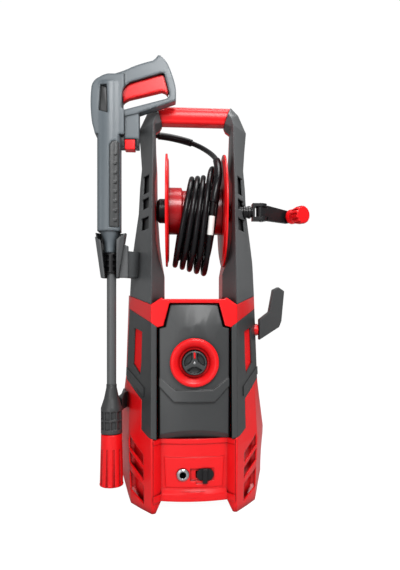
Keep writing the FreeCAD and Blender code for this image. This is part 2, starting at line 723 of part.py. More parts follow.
def make_base_tray():
    """Floor of the machine: a plate inside the casing on a sole that is open at the front."""
    plate = prism("TrayPlate", PLAN, [
        (-78, -118), (78, -118), (104, -74), (118, -30), (108, 20), (108, 140), (-108, 140),
        (-108, 20), (-118, -30), (-104, -74)], 15, 4)

    def runner(name, sign):
        return prism(name, PLAN, [
            (76 * sign, -116), (86 * sign, -116), (106 * sign, -60), (106 * sign, 146),
            (96 * sign, 146), (96 * sign, -58)], 0, 16)

    bar = box("SoleBar", (-97, 97), (132, 146), (0, 16))
    posts = []
    for x in (-28, 28):
        for y in (-8, 48):
            posts.append(rod("PumpPost%d_%d" % (x + 28, y + 8), 16, 82, x, y, 18))
    whole = fuse("TrayWhole", plate, runner("SoleRight", 1), runner("SoleLeft", -1), bar, *posts)
    return part("base_tray", common("BaseTray", whole, hull("TrayLimit", wall + 0.4)))


def make_outlet():
    """Steel outlet with its bore, and the latch that holds the hose's plug in it."""
    part("outlet_fitting", turned("Outlet", [
        (6.5, 0), (9.5, 0), (11, 1.5), (12, 1.5), (12, 30), (8, 34), (8, 52), (0, 52), (0, 30), (6.5, 30),
    ], -22.5, -148, 72, ALONG_Y))
    plate = padded("LatchPlate", [(-6, -11.3), (6, -11.3, 11.2), (6, 11.3), (-6, 11.3, 11.2)],
                   4.6, 21.3, -141.4, 71.9, Rotation(Vector(1, 0, 0), 90))
    stem = box("LatchStem", (16.8, 25.8), (-150.5, -144.2), (55, 83))
    neck = box("LatchNeck", (15.3, 27.3), (-143, -130), (66, 77.5))
    keeper = box("LatchKeeper", (11, 31.6), (-131.6, -128.8), (60, 84))
    part("outlet_latch", fuse("OutletLatch", plate, stem, neck, keeper))


def make_power_knob():
    """Three-lobed switch knob on its spindle."""
    knob_r = cell("knob_wide") / 2
    body = turned("PowerKnob", [
        (0, -20), (4, -20), (4, -1), (knob_r - 1, -1), (knob_r, 1), (knob_r, 10, 1.5),
        (knob_r - 3, 15), (0, 17)], 0, RING_Y, ring_z, Rotation(Vector(1, 0, 0), 90))
    pocket_round(body, "FingerDip", [
        (knob_r - 1, -9.5, 3), (knob_r - 1, 9.5), (7, 2.5), (7, -2.5)], 20, 11, 3)
    part("power_knob", body)


def make_reel():
    """Red drum between two dished flanges, on a journal that turns in the column bushes."""
    reel_r = cell("reel_wide") / 2
    drum_r = drum_wide / 2
    for side, sign in (("left", -1), ("right", 1)):
        body = turned("Flange" + side.capitalize(), [
            (9.2, 0), (drum_r - 8, 0), (reel_r - 12, 0), (reel_r - 7, 2.5), (reel_r, 2.5),
            (reel_r, 6.5), (reel_r - 9, 6.5), (reel_r - 14, 3.5), (drum_r - 4, 3.5), (drum_r - 7, 7),
            (24, 7), (24, 4), (9.2, 4),
        ], (flange_x - 6.6) * sign + reel_x, reel_y, reel_z, Rotation(Vector(0, 1, 0), 90 * sign))
        part("reel_flange_" + side, body)
    half = flange_x - 6.8
    drum = turned("ReelDrum", [
        (0, -78), (9, -78), (9, -half + 3), (drum_r - 4, -half + 3),
        (drum_r - 4, -half), (drum_r, -half), (drum_r, -half + 26), (drum_r - 6, -half + 28),
        (drum_r - 6, -half + 50), (drum_r, -half + 52), (drum_r, half), (drum_r - 4, half),
        (drum_r - 4, half - 3), (9, half - 3), (9, 108), (0, 108),
    ], reel_x, reel_y, reel_z, ALONG_X)
    part("reel_drum", drum)
    bushes = []
    for side, sign, long in (("Left", -1, 18.1), ("Right", 1, 10.1)):
        bushes.append(turned("Bush" + side, [
            (9.06, 0), (25.5, 0), (25.5, long - 6), (20, long), (9.06, long)],
            (flange_x + 1) * sign + reel_x, reel_y, reel_z, Rotation(Vector(0, 1, 0), 90 * sign)))
    part("reel_bushes", fuse("ReelBushes", *bushes))


def biarc(a, along_a, b, along_b):
    """Two arcs that leave a and reach b in the given directions and meet with one tangent."""
    chord = b.sub(a)
    both = along_a.add(along_b)
    square = 2 * (1 - along_a.dot(along_b))
    reach = chord.dot(both)
    length = chord.dot(chord)
    if square < 1e-9:
        step = length / (2 * reach)
    else:
        step = (math.sqrt(reach * reach + square * length) - reach) / square
    first = a.add(along_a * step)
    last = b.sub(along_b * step)
    joint = first.add(last).multiply(0.5)
    edges = []
    for start, corner, end in ((a, first, joint), (joint, last, b)):
        back = start.sub(corner).normalize().add(end.sub(corner).normalize())
        if back.Length < 1e-6:
            edges.append(Part.LineSegment(start, end).toShape())
            continue
        half = math.acos(min(1.0, back.Length / 2))
        reach = start.distanceToPoint(corner)
        radius = reach * math.tan(half)
        centre = corner.add(back.normalize() * (reach / math.cos(half)))
        middle = centre.add(corner.sub(centre).normalize() * radius)
        edges.append(Part.Arc(start, middle, end).toShape())
    return edges


WIND_TURNS = 5


def wind_spot(turns):
    """Where the winding's middle line is after a number of turns, from the top over the back."""
    share = turns / WIND_TURNS
    hang = number(cell("hang")) + number(cell("hang_more")) * share
    rise = number(cell("rise")) + 8 * share + 18 * math.exp(-((turns - 4) / 0.35) ** 2)
    tall = (hang + rise) / 2
    deep = 76
    angle = 2 * math.pi * turns
    top_x = -14 + 60 * share
    foot_x = -46 + 76 * share
    x = (top_x + foot_x) / 2 + (top_x - foot_x) / 2 * math.cos(angle)
    return Vector(x, number(reel_y) + deep * math.sin(angle),
                  number(reel_z) + (rise - hang) / 2 + tall * math.cos(angle))


def wind_course(turns):
    step = 1e-4
    return wind_spot(turns + step).sub(wind_spot(turns - step)).normalize()


def make_hose_winding():
    """Outer layer of hose in loose hanging loops, over a plain core of the layers below it."""
    first = 0.25
    last = WIND_TURNS - 0.25
    count = int(round((last - first) * 4))
    edges = []
    for i in range(count):
        t0 = first + (last - first) * i / count
        t1 = first + (last - first) * (i + 1) / count
        edges += biarc(wind_spot(t0), wind_course(t0), wind_spot(t1), wind_course(t1))
    radius = number(hose_wide) / 2
    start = wind_spot(first)
    course = wind_course(first)
    inner_x = number(reel_x) - number(flange_x) + 7.2
    turn_from = Vector(inner_x + 2 * radius, start.y - course.y * 26, start.z - course.z * 26)
    lead_in = biarc(turn_from, Vector(1, 0, 0), start, course)
    butt = Part.LineSegment(Vector(inner_x, turn_from.y, turn_from.z), turn_from).toShape()
    end = wind_spot(last)
    tail = Part.LineSegment(end, end.add(wind_course(last) * number(hose_wide))).toShape()
    path = [butt] + lead_in + edges + [tail]
    length = sum(edge.Length for edge in path)
    solid = doc.addObject("Part::Feature", "HoseWinding")
    solid.Shape = pipe(path, 2 * radius)
    print("winding: length %.0f, volume share %.4f" % (
        length, solid.Shape.Volume / (math.pi * radius ** 2 * length)))
    spots = [wind_spot(first + (last - first) * i / 1200) for i in range(1201)]
    least = 1000.0
    for i in range(0, 1201, 6):
        for j in range(i + 110, 1201, 2):
            least = min(least, spots[i].distanceToPoint(spots[j]))
    print("winding: least gap %.2f" % (least - 2 * radius))
    part("hose_winding", solid)
    rise = number(cell("rise"))
    hang = number(cell("hang"))
    lean = math.atan2(18, (hang + rise) / 2)
    centre = Vector(-33, number(reel_y), number(reel_z) + (rise - hang) / 2)
    across = Vector(0, 1, 0)
    up = Vector(math.sin(lean), 0, math.cos(lean))

    def oval(shrink):
        tall = ((hang + rise) / 2 - shrink) / math.cos(lean)
        wide = 76 - shrink
        curve = Part.Ellipse(centre.add(up * tall), centre.add(across * wide), centre)
        return Part.Wire(curve.toShape())
    band = Part.Face(oval(7.5)).cut(Part.Face(oval(15.5)))
    core = doc.addObject("Part::Feature", "HoseCore")
    core.Shape = band.extrude(Vector(62, 0, 0)).Solids[0]
    part("hose_core", core)


def make_route(name, route, wide):
    """A tube along straight runs joined by arcs as large as the runs allow."""
    edges = []
    radii = []
    here = route[0]
    for before, corner, after in zip(route, route[1:], route[2:]):
        into = before.sub(corner)
        out = after.sub(corner)
        half = math.acos(max(-1, min(1, -into.dot(out) / into.Length / out.Length))) / 2
        trim = 0.45 * min(into.Length, out.Length)
        start = corner.add(Vector(into).normalize() * trim)
        end = corner.add(Vector(out).normalize() * trim)
        radius = trim / math.tan(half)
        inward = Vector(into).normalize().add(Vector(out).normalize()).normalize()
        middle = corner.add(inward * (radius / math.cos(half) - radius))
        edges.append(Part.LineSegment(here, start).toShape())
        edges.append(Part.Arc(start, middle, end).toShape())
        radii.append(radius)
        here = end
    edges.append(Part.LineSegment(here, route[-1]).toShape())
    length = sum(edge.Length for edge in edges)
    tube = pipe(edges, wide)
    print("%s: length %.0f, radii %s, volume share %.4f" % (
        name, length, " ".join("%.0f" % r for r in radii),
        tube.Volume / (math.pi * (wide / 2) ** 2 * length)))
    solid = doc.addObject("Part::Feature", name)
    solid.Shape = tube
    return solid, edges


def pipe(edges, wide):
    """The solid of a round section carried along tangent edges."""
    start = edges[0].valueAt(edges[0].FirstParameter)
    course = edges[0].tangentAt(edges[0].FirstParameter)
    ring = Part.Wire(Part.Circle(start, course, wide / 2).toShape())
    return Part.Wire(edges).makePipeShell([ring], True, False)


def make_hose_lead():
    """Free hose from the reel over the top to the gun, with its two sleeves and its plug."""
    last = WIND_TURNS - 0.25
    course = wind_course(last)
    start = wind_spot(last).add(course * number(hose_wide))
    route = [
        start,
        start.add(course * 40),
        Vector(49.5, -127, 660),
        Vector(50, -96, 700),
        Vector(47.5, -60, 721),
        Vector(36, -24, 743),
        Vector(14, 6, 765),
        Vector(-14, 22, 780),
        Vector(-60, 27, 791),
        Vector(-97, 18, 790),
        Vector(-121, -2, 785),
        Vector(-130, -29.5, 780),
        Vector(-130, -49, 780),
    ]
    lead, edges = make_route("HoseLead", route, number(hose_wide))
    part("hose_lead", lead)
    sleeves = []
    for name, first, last in (("LowSleeve", 1, 6), ("TopSleeve", 13, 16)):
        sleeve = doc.addObject("Part::Feature", name)
        sleeve.Shape = pipe(edges[first:last], 16).cut(pipe(edges[first:last], 11.1))
        sleeves.append(sleeve)
    part("hose_sleeve", fuse("HoseSleeve", *sleeves))
    part("hose_plug", turned("HosePlug", [
        (0, 0), (5, 0), (5, 14), (8.5, 14), (8.5, 28), (7, 30), (7, 36), (0, 36)],
        -130, -85, 780, ALONG_Y))


def make_crank():
    """Ribbed hub with a clevis on the reel's journal, folding arm and turning knob."""
    hub = turned("CrankHub", [
        (9.02, 0), (13.5, 0), (13.5, 4), (12, 5), (12, 9), (13.5, 10), (13.5, 14), (12, 15), (12, 19),
        (13.5, 20), (13.5, 25), (11, 26.5), (11, 33), (0, 33), (0, 15), (9.02, 15)],
        97, reel_y, reel_z, ALONG_X)
    def fork(name, low):
        return prism(name, PLAN, [
            (128, reel_y - 12), (crank_pin_x, reel_y - 12, 12), (crank_pin_x, reel_y + 12),
            (128, reel_y + 12)], reel_z + low, 7)
    web = prism("ForkWeb", PLAN, [(126, reel_y - 12), (131, reel_y - 12), (131, reel_y + 12),
                                  (126, reel_y + 12)], reel_z - 18, 36)
    hole = rod("PinHole", 6.1, 40, crank_pin_x, reel_y, reel_z - 20)
    part("crank_hub", cut("CrankHubCut", fuse("CrankHubWhole", hub, web, fork("ForkLow", -18),
                                              fork("ForkHigh", 11)), hole))
    pin = turned("CrankPin", [
        (0, -20), (4.4, -20), (4.4, -18.3), (3, -18.3), (3, 18.3), (4.4, 18.3), (4.4, 20), (0, 20)],
        crank_pin_x, reel_y, reel_z)
    angle = cell("crank_turn")
    turn = Rotation(Vector(0, 0, 1), angle.value)
    long = cell("crank_long")
    core = padded("CrankCore", [(-4, -8.5, 8), (-4, 8.5), (10, 8.5), (20, 5), (20, -5), (10, -8.5)],
                  21.2, crank_pin_x, reel_y, reel_z - 10.6, turn)
    blade = padded("CrankBlade", [(13.5, 15.5), (13.5, -16.5), (long - 4, -17.5, 11), (long - 4, 9.5)],
                   11)
    pin_spot = point(crank_pin_x, reel_y, reel_z)
    blade.Placement = Placement(turn.multVec(Vector(0, 5.5, 0)).add(pin_spot),
                                turn.multiply(Rotation(Vector(1, 0, 0), 90)))
    bore = rod("ArmBore", 6, 40, crank_pin_x, reel_y, reel_z - 20)
    tip = turn.multVec(Vector(number(long) - 4, 0, -4.5)).add(pin_spot)
    toward = turn.multVec(Vector(0, -1, 0))
    spindle = turned("KnobSpindle", [(0, -7.5), (7, -7.5), (7, -5.7), (4, -5.7), (4, 46), (0, 46)])
    spindle.Placement = Placement(tip, Rotation(Vector(0, 0, 1), toward))
    hole = rod("SpindleHole", 8, 60)
    hole.Placement = Placement(tip.sub(toward * 30), Rotation(Vector(0, 0, 1), toward))
    part("crank_arm", cut("CrankArmCut", fuse("CrankArm", core, blade), bore, hole))
    part("crank_pins", fuse("CrankPins", pin, spindle))
    knob = turned("CrankKnob", [
        (4.1, 6), (10, 6), (10, 10), (14, 12), (16, 14), (16, 20), (14.5, 24), (17, 30), (19, 38),
        (19, 48, 2), (15, 54), (0, 55), (0, 46.5), (4.1, 46.5)])
    knob.Placement = Placement(tip, Rotation(Vector(0, 0, 1), toward))
    pocket_round(knob, "KnobFlute", [(21, -2.4), (21, 2.4), (17.3, 1.6), (17.3, -1.6)], 60, 34, 12)
    part("crank_knob", knob)


GUN_SEAT_X = -169


def make_gun():
    """Gun body: barrel, bow handle with its guard, and the block that takes the hose."""
    y0 = lance_y
    handle = prism("GunBow", FRONT, [
        (-178, 858), (-160, 872.6, -1), (-124.9, 887.1, 0.8), (-83.3, 901.4, -0.8), (-73, 912, 1.5),
        (-66, 911, 1), (-52.2, 895, 1), (-38, 854.7, 1.5), (-37, 822.5), (-108.8, 796.2),
        (-138.3, 788), (-165, 780)], y0 - 15, 25)
    opening = prism("GunOpening", FRONT, [
        (-139.5, 801), (-56.5, 825, 2.5), (-49.5, 838), (-58.5, 872.5, 2.8), (-67, 877.5),
        (-126.5, 858, 3.2), (-143.5, 836), (-145, 807, 2.5)], y0 - 30, 60)
    barrel_r = cell("barrel_wide") / 2
    axis = lance_x - 4

    def barrel_form(name, more, foot_z):
        return padded(name, [
            (-barrel_r - more, -12, 3), (-14, -21 - more, 3), (14, -21 - more, 3),
            (barrel_r + more, -12), (barrel_r + more, 12, 3), (14, 21 + more), (-14, 21 + more, 3),
            (-barrel_r - more, 12)], 300, axis, y0, foot_z)
    dome = prism("GunDome", FRONT, [
        (-146, 550), (-196, 550), (-194.5, 738), (-203, 770, 2.2), (-204.8, 840, 4), (-189, 863, 1),
        (-171.7, 870.6), (-158, 871), (-146, 873), (-130, 877), (-130, 745), (-146, 740)],
        y0 - 26, 50)
    head = common("GunHead", fuse("GunColumn", barrel_form("GunBarrel", 0, 556),
                                  box("GunTop", (-212, -140), (y0 - 20, y0 + 20), (750, 890))), dome)
    taper = turned("GunTaper", [
        (0, 513), (13, 513), (13, 532), (20.4, 554.4), (20.4, 558), (0, 558)], GUN_SEAT_X, y0, 0)
    block = box("GunBlock", (-139, -110.5), (y0 - 13, y0 + 18), (743.5, 800))
    ear_left = box("EarLeft", (-152, -140.2), (y0 - 11, y0 + 11), (725.5, 748))
    ear_right = box("EarRight", (-118, -110.6), (y0 - 11, y0 + 11), (725.5, 748))
    whole = fuse("GunWhole", handle, head, taper, block, ear_left, ear_right)
    groove = prism("GripGroove", FRONT, [
        (-168.6, 563), (-149, 563), (-149, 733.5), (-156, 736.5), (-164, 734), (-168.6, 726.7)],
        y0 - 30, 12)
    side_dip = prism("SideDip", FRONT, [
        (-190.4, 796.6), (-187, 848.4), (-174, 848), (-172, 791)], y0 - 30, 14)
    port = rod("GunPort", 10.1, 40, -130, y0 + 5, 780, ALONG_Y)
    guide = box("ButtonGuide", (-143.4, -114.6), (y0 - 5.5, y0 + 8.5), (730.5, 736.5))
    bore = rod("LanceBore", lance_wide + 0.1, 30, lance_x, y0, 510)
    well = prism("TriggerWell", FRONT, [
        (-156.2, 828.3), (-156.2, 842.2), (-147.8, 843.8, 3), (-129.4, 861), (-73, 886.6),
        (-62.8, 882.6), (-51, 855), (-49.8, 842), (-56, 834), (-140, 822)], y0 - 8.4, 16.8)
    hollowed = cut("GunHollowed", whole, opening, groove, side_dip, port, guide, bore, well)
    pivot = rod("TriggerPivot", 5, 24, -150, y0 - 12, 836, ALONG_Y)
    part("gun_body", fuse("GunBody", hollowed, pivot))
    insert_region = prism("InsertRegion", FRONT, [
        (-168.2, 563.4), (-149.4, 563.4), (-149.4, 733.1), (-156, 736.1), (-163.8, 733.6),
        (-168.2, 726.6)], y0 - 30, 11.8)
    insert = common("GripInsert", insert_region, barrel_form("InsertForm", 1.2, 558))
    ribs = []
    for i in range(8):
        z = 574 + 19 * i
        ribs.append(box("GripRib%d" % i, (-161.5, -154.5), (y0 - 24, y0 - 19.4), (z, z + 5)))
    part("foregrip_insert", fuse("ForegripInsert", insert, *ribs))
    lever = prism("TriggerLever", FRONT, [
        (-155, 829.5), (-155, 841), (-146, 842, 3), (-126.2, 857.2), (-67.4, 876.6, 1.5),
        (-59.4, 871.6), (-50.8, 843.5), (-53, 836), (-57.5, 841.5), (-65, 844), (-131.5, 826),
        (-140.5, 820.5), (-142.8, 817), (-142.8, 829.5)], y0 - 8, 16)
    part("trigger", cut("Trigger", lever, rod("TriggerBore", 5.1, 24, -150, y0 - 12, 836, ALONG_Y)))
    button = box("ReleaseButton", (-139.4, -118.8), (y0 - 12, y0 + 12), (722, 742.3))
    tongue = box("ReleaseTongue", (-142.6, -115.4), (y0 - 5, y0 + 5), (731, 736))
    part("hose_release_button", fuse("HoseRelease", button, tongue))


def make_lance():
    """Lance tube with its ribbed collar, windowed adapter and the turning nozzle cap."""
    y0 = lance_y
    lance_r = lance_wide / 2
    foot_z = cell("nozzle_foot_z")
    part("lance_tube", turned("LanceTube", [
        (0, 132), (6, 132), (6, 240), (lance_r, 240), (lance_r, 538), (0, 538)], lance_x, y0, 0))
    collar = turned("LanceCollar", [
        (lance_r + 0.05, 471), (12, 471), (13.4, 473), (13.4, 510.5), (12, 512.6),
        (lance_r + 0.05, 512.6)], lance_x, y0, 0)
    for row in range(3):
        pocket_round(collar, "CollarPocket%d" % row, [
            (17, 5.6), (5.6, 17), (3.6, 12.1), (12.1, 3.6)], 484 + 12 * row, 8.5, 4)
    part("lance_collar", collar)
    adapter = turned("NozzleAdapter", [
        (6.05, 147), (21.5, 147), (21.5, 198), (15, 218), (lance_r + 1, 240), (lance_r + 1, 246),
        (lance_r + 0.05, 246), (lance_r + 0.05, 240), (6.05, 240)], lance_x, y0, 0)
    pocket_round(adapter, "AdapterWindow", [
        (24, -5.5), (24, 5.5), (18.5, 4.4), (18.5, -4.4)], 192, 16, 10)
    pocket_round(adapter, "AdapterWindowLow", [
        (24, -5.5), (24, 5.5), (18.5, 4.4), (18.5, -4.4)], 172, 16, 10)
    part("nozzle_adapter", adapter)
    nozzle_r = cell("nozzle_wide") / 2
    cap = turned("NozzleCap", [
        (6.2, 146), (20, 146), (21.3, 144), (21.6, 128), (nozzle_r, foot_z + 6, 2), (nozzle_r - 3, foot_z),
        (16, foot_z), (12, foot_z + 14), (4, foot_z + 24), (4, foot_z + 40), (6.2, foot_z + 44)],
        lance_x, y0, 0)
    pocket_round(cap, "NozzleFlute", [
        (26, -3.2), (26, 3.2), (20.4, 1.4), (20.4, -1.4)], 116, 78, 10)
    part("nozzle_cap", cap)


def make_gun_holder():
    """Cup on the left column that the gun drops into, open at the front."""
    y0 = number(lance_y)

    def cup_ring(z, left, right, front, back, corner_x, corner_y):
        return [(left, y0 - front + corner_y, z), (left, y0 + back - corner_y, z),
                (left + corner_x, y0 + back, z), (right - corner_x, y0 + back, z),
                (right, y0 + back - corner_y, z), (right, y0 - front + corner_y, z),
                (right - corner_x, y0 - front, z), (left + corner_x, y0 - front, z)]
    form = skin("HolderForm", [cup_ring(462, -187, -152, 19, 18, 6, 5.5),
                               cup_ring(554, -199.5, -137.5, 25, 26, 9.5, 8)])
    hollow = skin("HolderHollow", [cup_ring(505, -189.8, -148.2, 18.8, 3, 6, 5),
                                   cup_ring(556, -196.8, -140, 22, 10, 7, 6)])
    throat = turned("HolderThroat", [(0, 440), (16, 440), (16, 540), (21.7, 556.5), (0, 556.5)],
                    GUN_SEAT_X, lance_y, 0)
    mouth = prism("HolderMouth", FRONT, [
        (-202, 560), (-202, 547), (-186.1, 536), (-177.5, 455), (-155.5, 455), (-154.8, 538),
        (-135, 554), (-135, 560)], y0 - 40, 40)
    plate = prism("HolderPlate", FRONT, [
        (-155, 463), (-155, 531), (-143.4, 531.1), (-133.5, 527.5), (-133.5, 463)], y0 - 4, 16)
    arm = skin("HolderArm", [
        [(-137, -92, 464), (-114.3, -65, 464), (-127.1, -35, 464), (-147, -72, 464)],
        [(-137, -92, 518), (-111.7, -65, 518), (-124.7, -35, 518), (-147, -72, 518)]])
    body = cut("HolderCup", fuse("HolderBlock", form, arm, plate), hollow, throat, mouth)
    doc.recompute()
    return part("gun_holder", cut("GunHolder", body, parts["column_front_left"],
                                  parts["column_rear_left"]))


def make_cord_hook():
    """Swivelling hook for the mains cord, on a red seat in the right side cover."""
    part("hook_seat", turned("HookSeat", [
        (0, 0), (13, 0), (13, 10), (10.5, 12), (5, 12), (5, 6.5), (0, 6.5)], 134, -12, HOOK_Z, ALONG_X))
    arm = prism("HookArm", FRONT, [
        (147.4, 330.8), (147.4, 376), (169, 392.8), (178.2, 442.3), (189.4, 447.9), (203, 438.7),
        (196.8, 372.6), (191.7, 359.3)], -24, 24)
    return part("cord_hook", fuse("CordHook", arm, rod("HookStub", 9.8, 8, 141, -12, HOOK_Z, ALONG_X)))


def make_wheels():
    """Spoked transport wheels on a steel axle."""
    wheel_r = wheel_wide / 2
    part("wheel_axle", turned("WheelAxle", [
        (0, -wheel_x - 16), (7, -wheel_x - 16), (7, -wheel_x - 14.2), (5, -wheel_x - 14.2),
        (5, wheel_x + 14.2), (7, wheel_x + 14.2), (7, wheel_x + 16), (0, wheel_x + 16)],
        0, wheel_y, wheel_z, ALONG_X))
    for side, sign in (("left", -1), ("right", 1)):
        name = "Wheel" + side.capitalize()
        body = turned(name, [
            (5.05, -14), (11, -14), (12, -6), (wheel_r - 14, -6), (wheel_r - 11, -12),
            (wheel_r - 4, -12, 1.5), (wheel_r, -8), (wheel_r, 8, 1.5), (wheel_r - 4, 12),
            (wheel_r - 11, 12), (wheel_r - 14, 6), (12, 6), (11, 14), (5.05, 14)], wheel_x * sign, wheel_y, wheel_z, ALONG_X)
        part("wheel_" + side, pocket_round(body, name + "Gap", [
            (18, -6, 2), (43, -12, 2), (43, 12, 2), (18, 6)], 10, 20, 6))


def make_drive():
    """Motor and axial pump: casing, windings, rotor, fan, wobble plate, pistons and head."""
    motor_r = cell("motor_wide") / 2
    bearing = 8.05
    part("motor_casing", turned("MotorCasing", [
        (43, 140), (46, 140), (46, 195), (motor_r, 200), (motor_r, 330), (motor_r - 7, 338),
        (motor_r - 7, 344), (bearing, 344), (bearing, 340), (motor_r - 10, 340),
        (motor_r - 10, 336), (motor_r - 3, 328), (motor_r - 3, 206), (bearing, 206),
        (bearing, 197), (43, 197)], 0, motor_y, 0))
    part("motor_windings", turned("MotorWindings", [
        (34, 216), (motor_r - 3.1, 216), (motor_r - 3.1, 316), (34, 316)], 0, motor_y, 0))
    part("motor_rotor", turned("MotorRotor", [
        (0, 176), (8, 176), (8, 220), (33, 220), (33, 312), (8, 312), (8, 360), (0, 360)],
        0, motor_y, 0))
    fan = turned("CoolingFan", [(8.02, 346), (14, 346), (14, 350), (48, 350), (48, 362), (14, 362),
                                (8.02, 358)], 0, motor_y, 0)
    part("cooling_fan", pocket_round(fan, "FanGap", [
        (16, -4), (50, -12), (50, 9), (16, 2)], 370, 17, 9))
    plate = turned("WobbleForm", [(8.02, 160), (26, 160), (26, 184), (8.02, 184)], 0, motor_y, 0)
    wedge = prism("WobbleWedge", SIDE, [(-20, 150), (60, 150), (60, 169), (-20, 161)], -40, 80)
    part("wobble_plate", cut("WobblePlate", plate, wedge))
    block = turned("PumpBlock", [(0, 100), (40, 100), (46, 106), (46, 140), (0, 140)],
                   0, motor_y, 0)
    pocket_round(block, "PistonBore", [(17 - 6.06, 0, 6.06), (17 + 6.06, 0, 6.06)], 141, 22, 3)
    port = rod("PumpPort", 16, 12, -14, -32, 116, ALONG_Y)
    part("pump_head", fuse("PumpHead", block, port))
    for index in range(3):
        angle = math.radians(120 * index)
        part("pump_piston_%d" % (index + 1), turned("Piston%d" % index, [
            (0, 124), (6, 124), (6, 157), (0, 161.6)],
            17 * math.cos(angle), motor_y + 17 * math.sin(angle), 0))


def make_fittings():
    """Water inlet, cord gland, switch, pressure pipe and the screws of the casing."""
    part("inlet_fitting", turned("InletFitting", [
        (6, 0), (8, 0), (8, 6), (6.6, 8), (8, 12), (8, 20), (14.5, 24), (14.5, 36), (11, 36), (11, 60),
        (0, 60), (0, 52), (6, 52)], 46, 180, 70, Rotation(Vector(1, 0, 0), 90)))
    part("cord_gland", turned("CordGland", [
        (4.2, 0), (6, 0), (7.5, 18), (8.5, 18), (12, 20), (12, 24), (8.7, 24), (8.7, 34), (4.2, 34)],
        -46, 172, 70, Rotation(Vector(1, 0, 0), 90)))
    block = box("SwitchBlock", (-18, 18), (-142, -108), (ring_z - 22, ring_z + 22))
    tabs = box("SwitchTabs", (-36, 36), (RING_Y + 2, -141), (ring_z - 7, ring_z + 7))
    shaft = rod("SwitchBore", 8.12, 22, 0, -150, ring_z, ALONG_Y)
    part("power_switch", cut("PowerSwitch", fuse("SwitchWhole", block, tabs), shaft))
    course = Vector(0, 1, 0)
    bent = biarc(Vector(-22.5, -95.8, 72), course, Vector(-14, -32.2, 116), course)
    line = doc.addObject("Part::Feature", "PressureLine")
    line.Shape = pipe(bent, 8)
    part("pressure_pipe", line)
    screws = [screw("Screw%d" % i, spot) for i, spot in enumerate(SCREWS)]
    part("housing_screws", fuse("HousingScrews", *screws))


make_base_housing()
make_rear_housing()
make_top_deck()
for side in ("left", "right"):
    make_side_cover(side)
    make_side_window(side)
make_front_panel()
make_knob_ring()
for side in ("left", "right"):
    make_column(side)
make_carry_grip()
make_base_tray()
make_outlet()
make_power_knob()
make_reel()
make_hose_winding()
make_hose_lead()
make_crank()
make_gun()
make_lance()
make_lance_rest()
make_gun_holder()
make_cord_hook()
make_wheels()
make_drive()
make_fittings()
doc.recompute()

faults = [item.Label for item in doc.Objects if "Invalid" in item.State or "Error" in item.State]
for name, thing in parts.items():
    if thing.Shape.isNull() or not thing.Shape.isValid():
        faults.append(name)
if faults:
    raise ValueError("not sound: %s" % ", ".join(faults))

os.makedirs("parts", exist_ok=True)
for name, thing in parts.items():
    thing.Shape.exportStep("parts/%s.step" % name)
print("%d nodes" % len(parts))
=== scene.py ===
import json
import math

import bmesh
import bpy
import numpy as np
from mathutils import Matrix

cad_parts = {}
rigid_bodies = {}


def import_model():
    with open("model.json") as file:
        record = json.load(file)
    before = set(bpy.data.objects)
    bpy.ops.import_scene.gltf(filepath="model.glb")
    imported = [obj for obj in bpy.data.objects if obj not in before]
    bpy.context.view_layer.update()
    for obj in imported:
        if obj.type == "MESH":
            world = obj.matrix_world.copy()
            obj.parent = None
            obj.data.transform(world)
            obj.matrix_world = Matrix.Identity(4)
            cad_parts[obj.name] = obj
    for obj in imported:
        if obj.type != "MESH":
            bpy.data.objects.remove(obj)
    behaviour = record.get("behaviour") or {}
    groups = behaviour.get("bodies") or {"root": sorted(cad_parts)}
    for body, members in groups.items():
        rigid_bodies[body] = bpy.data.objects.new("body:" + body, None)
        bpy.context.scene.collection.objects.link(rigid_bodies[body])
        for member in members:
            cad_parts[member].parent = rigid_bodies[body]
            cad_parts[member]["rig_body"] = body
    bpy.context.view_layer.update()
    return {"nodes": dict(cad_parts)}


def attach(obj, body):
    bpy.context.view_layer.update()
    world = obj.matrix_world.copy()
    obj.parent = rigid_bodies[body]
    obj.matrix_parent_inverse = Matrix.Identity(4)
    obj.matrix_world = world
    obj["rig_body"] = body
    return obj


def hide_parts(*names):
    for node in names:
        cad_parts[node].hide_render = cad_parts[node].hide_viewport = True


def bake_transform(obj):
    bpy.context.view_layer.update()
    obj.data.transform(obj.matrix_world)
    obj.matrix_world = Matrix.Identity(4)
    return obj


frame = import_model()

# Studio. A seamless white sweep under three soft lamps, with the machine standing on it, and a
# camera level with the machine's deck, close in front and turned slightly to the right.
stage = bpy.context.scene
stage.view_settings.view_transform = "Standard"

# The photograph's height, the focal length and the frame's shift across and up are in pixels,
# and the sensor's height is in millimetres.
PHOTO_HIGH = 570
FOCAL_LENGTH = 560
SHIFT_ACROSS = -20.6
SHIFT_UP = 25
SENSOR_HIGH = 24

camera_data = bpy.data.cameras.new("Camera")
camera = bpy.data.objects.new("Camera", camera_data)
stage.collection.objects.link(camera)
camera.location = (-0.035, -1.250, 0.397)
camera.rotation_euler = (math.radians(90), 0, math.radians(-4.5))
camera_data.sensor_fit = "VERTICAL"
camera_data.sensor_height = SENSOR_HIGH
camera_data.lens = SENSOR_HIGH * FOCAL_LENGTH / PHOTO_HIGH
camera_data.shift_x = SHIFT_ACROSS / PHOTO_HIGH
camera_data.shift_y = SHIFT_UP / PHOTO_HIGH
camera_data.clip_start = 0.01
stage.camera = camera


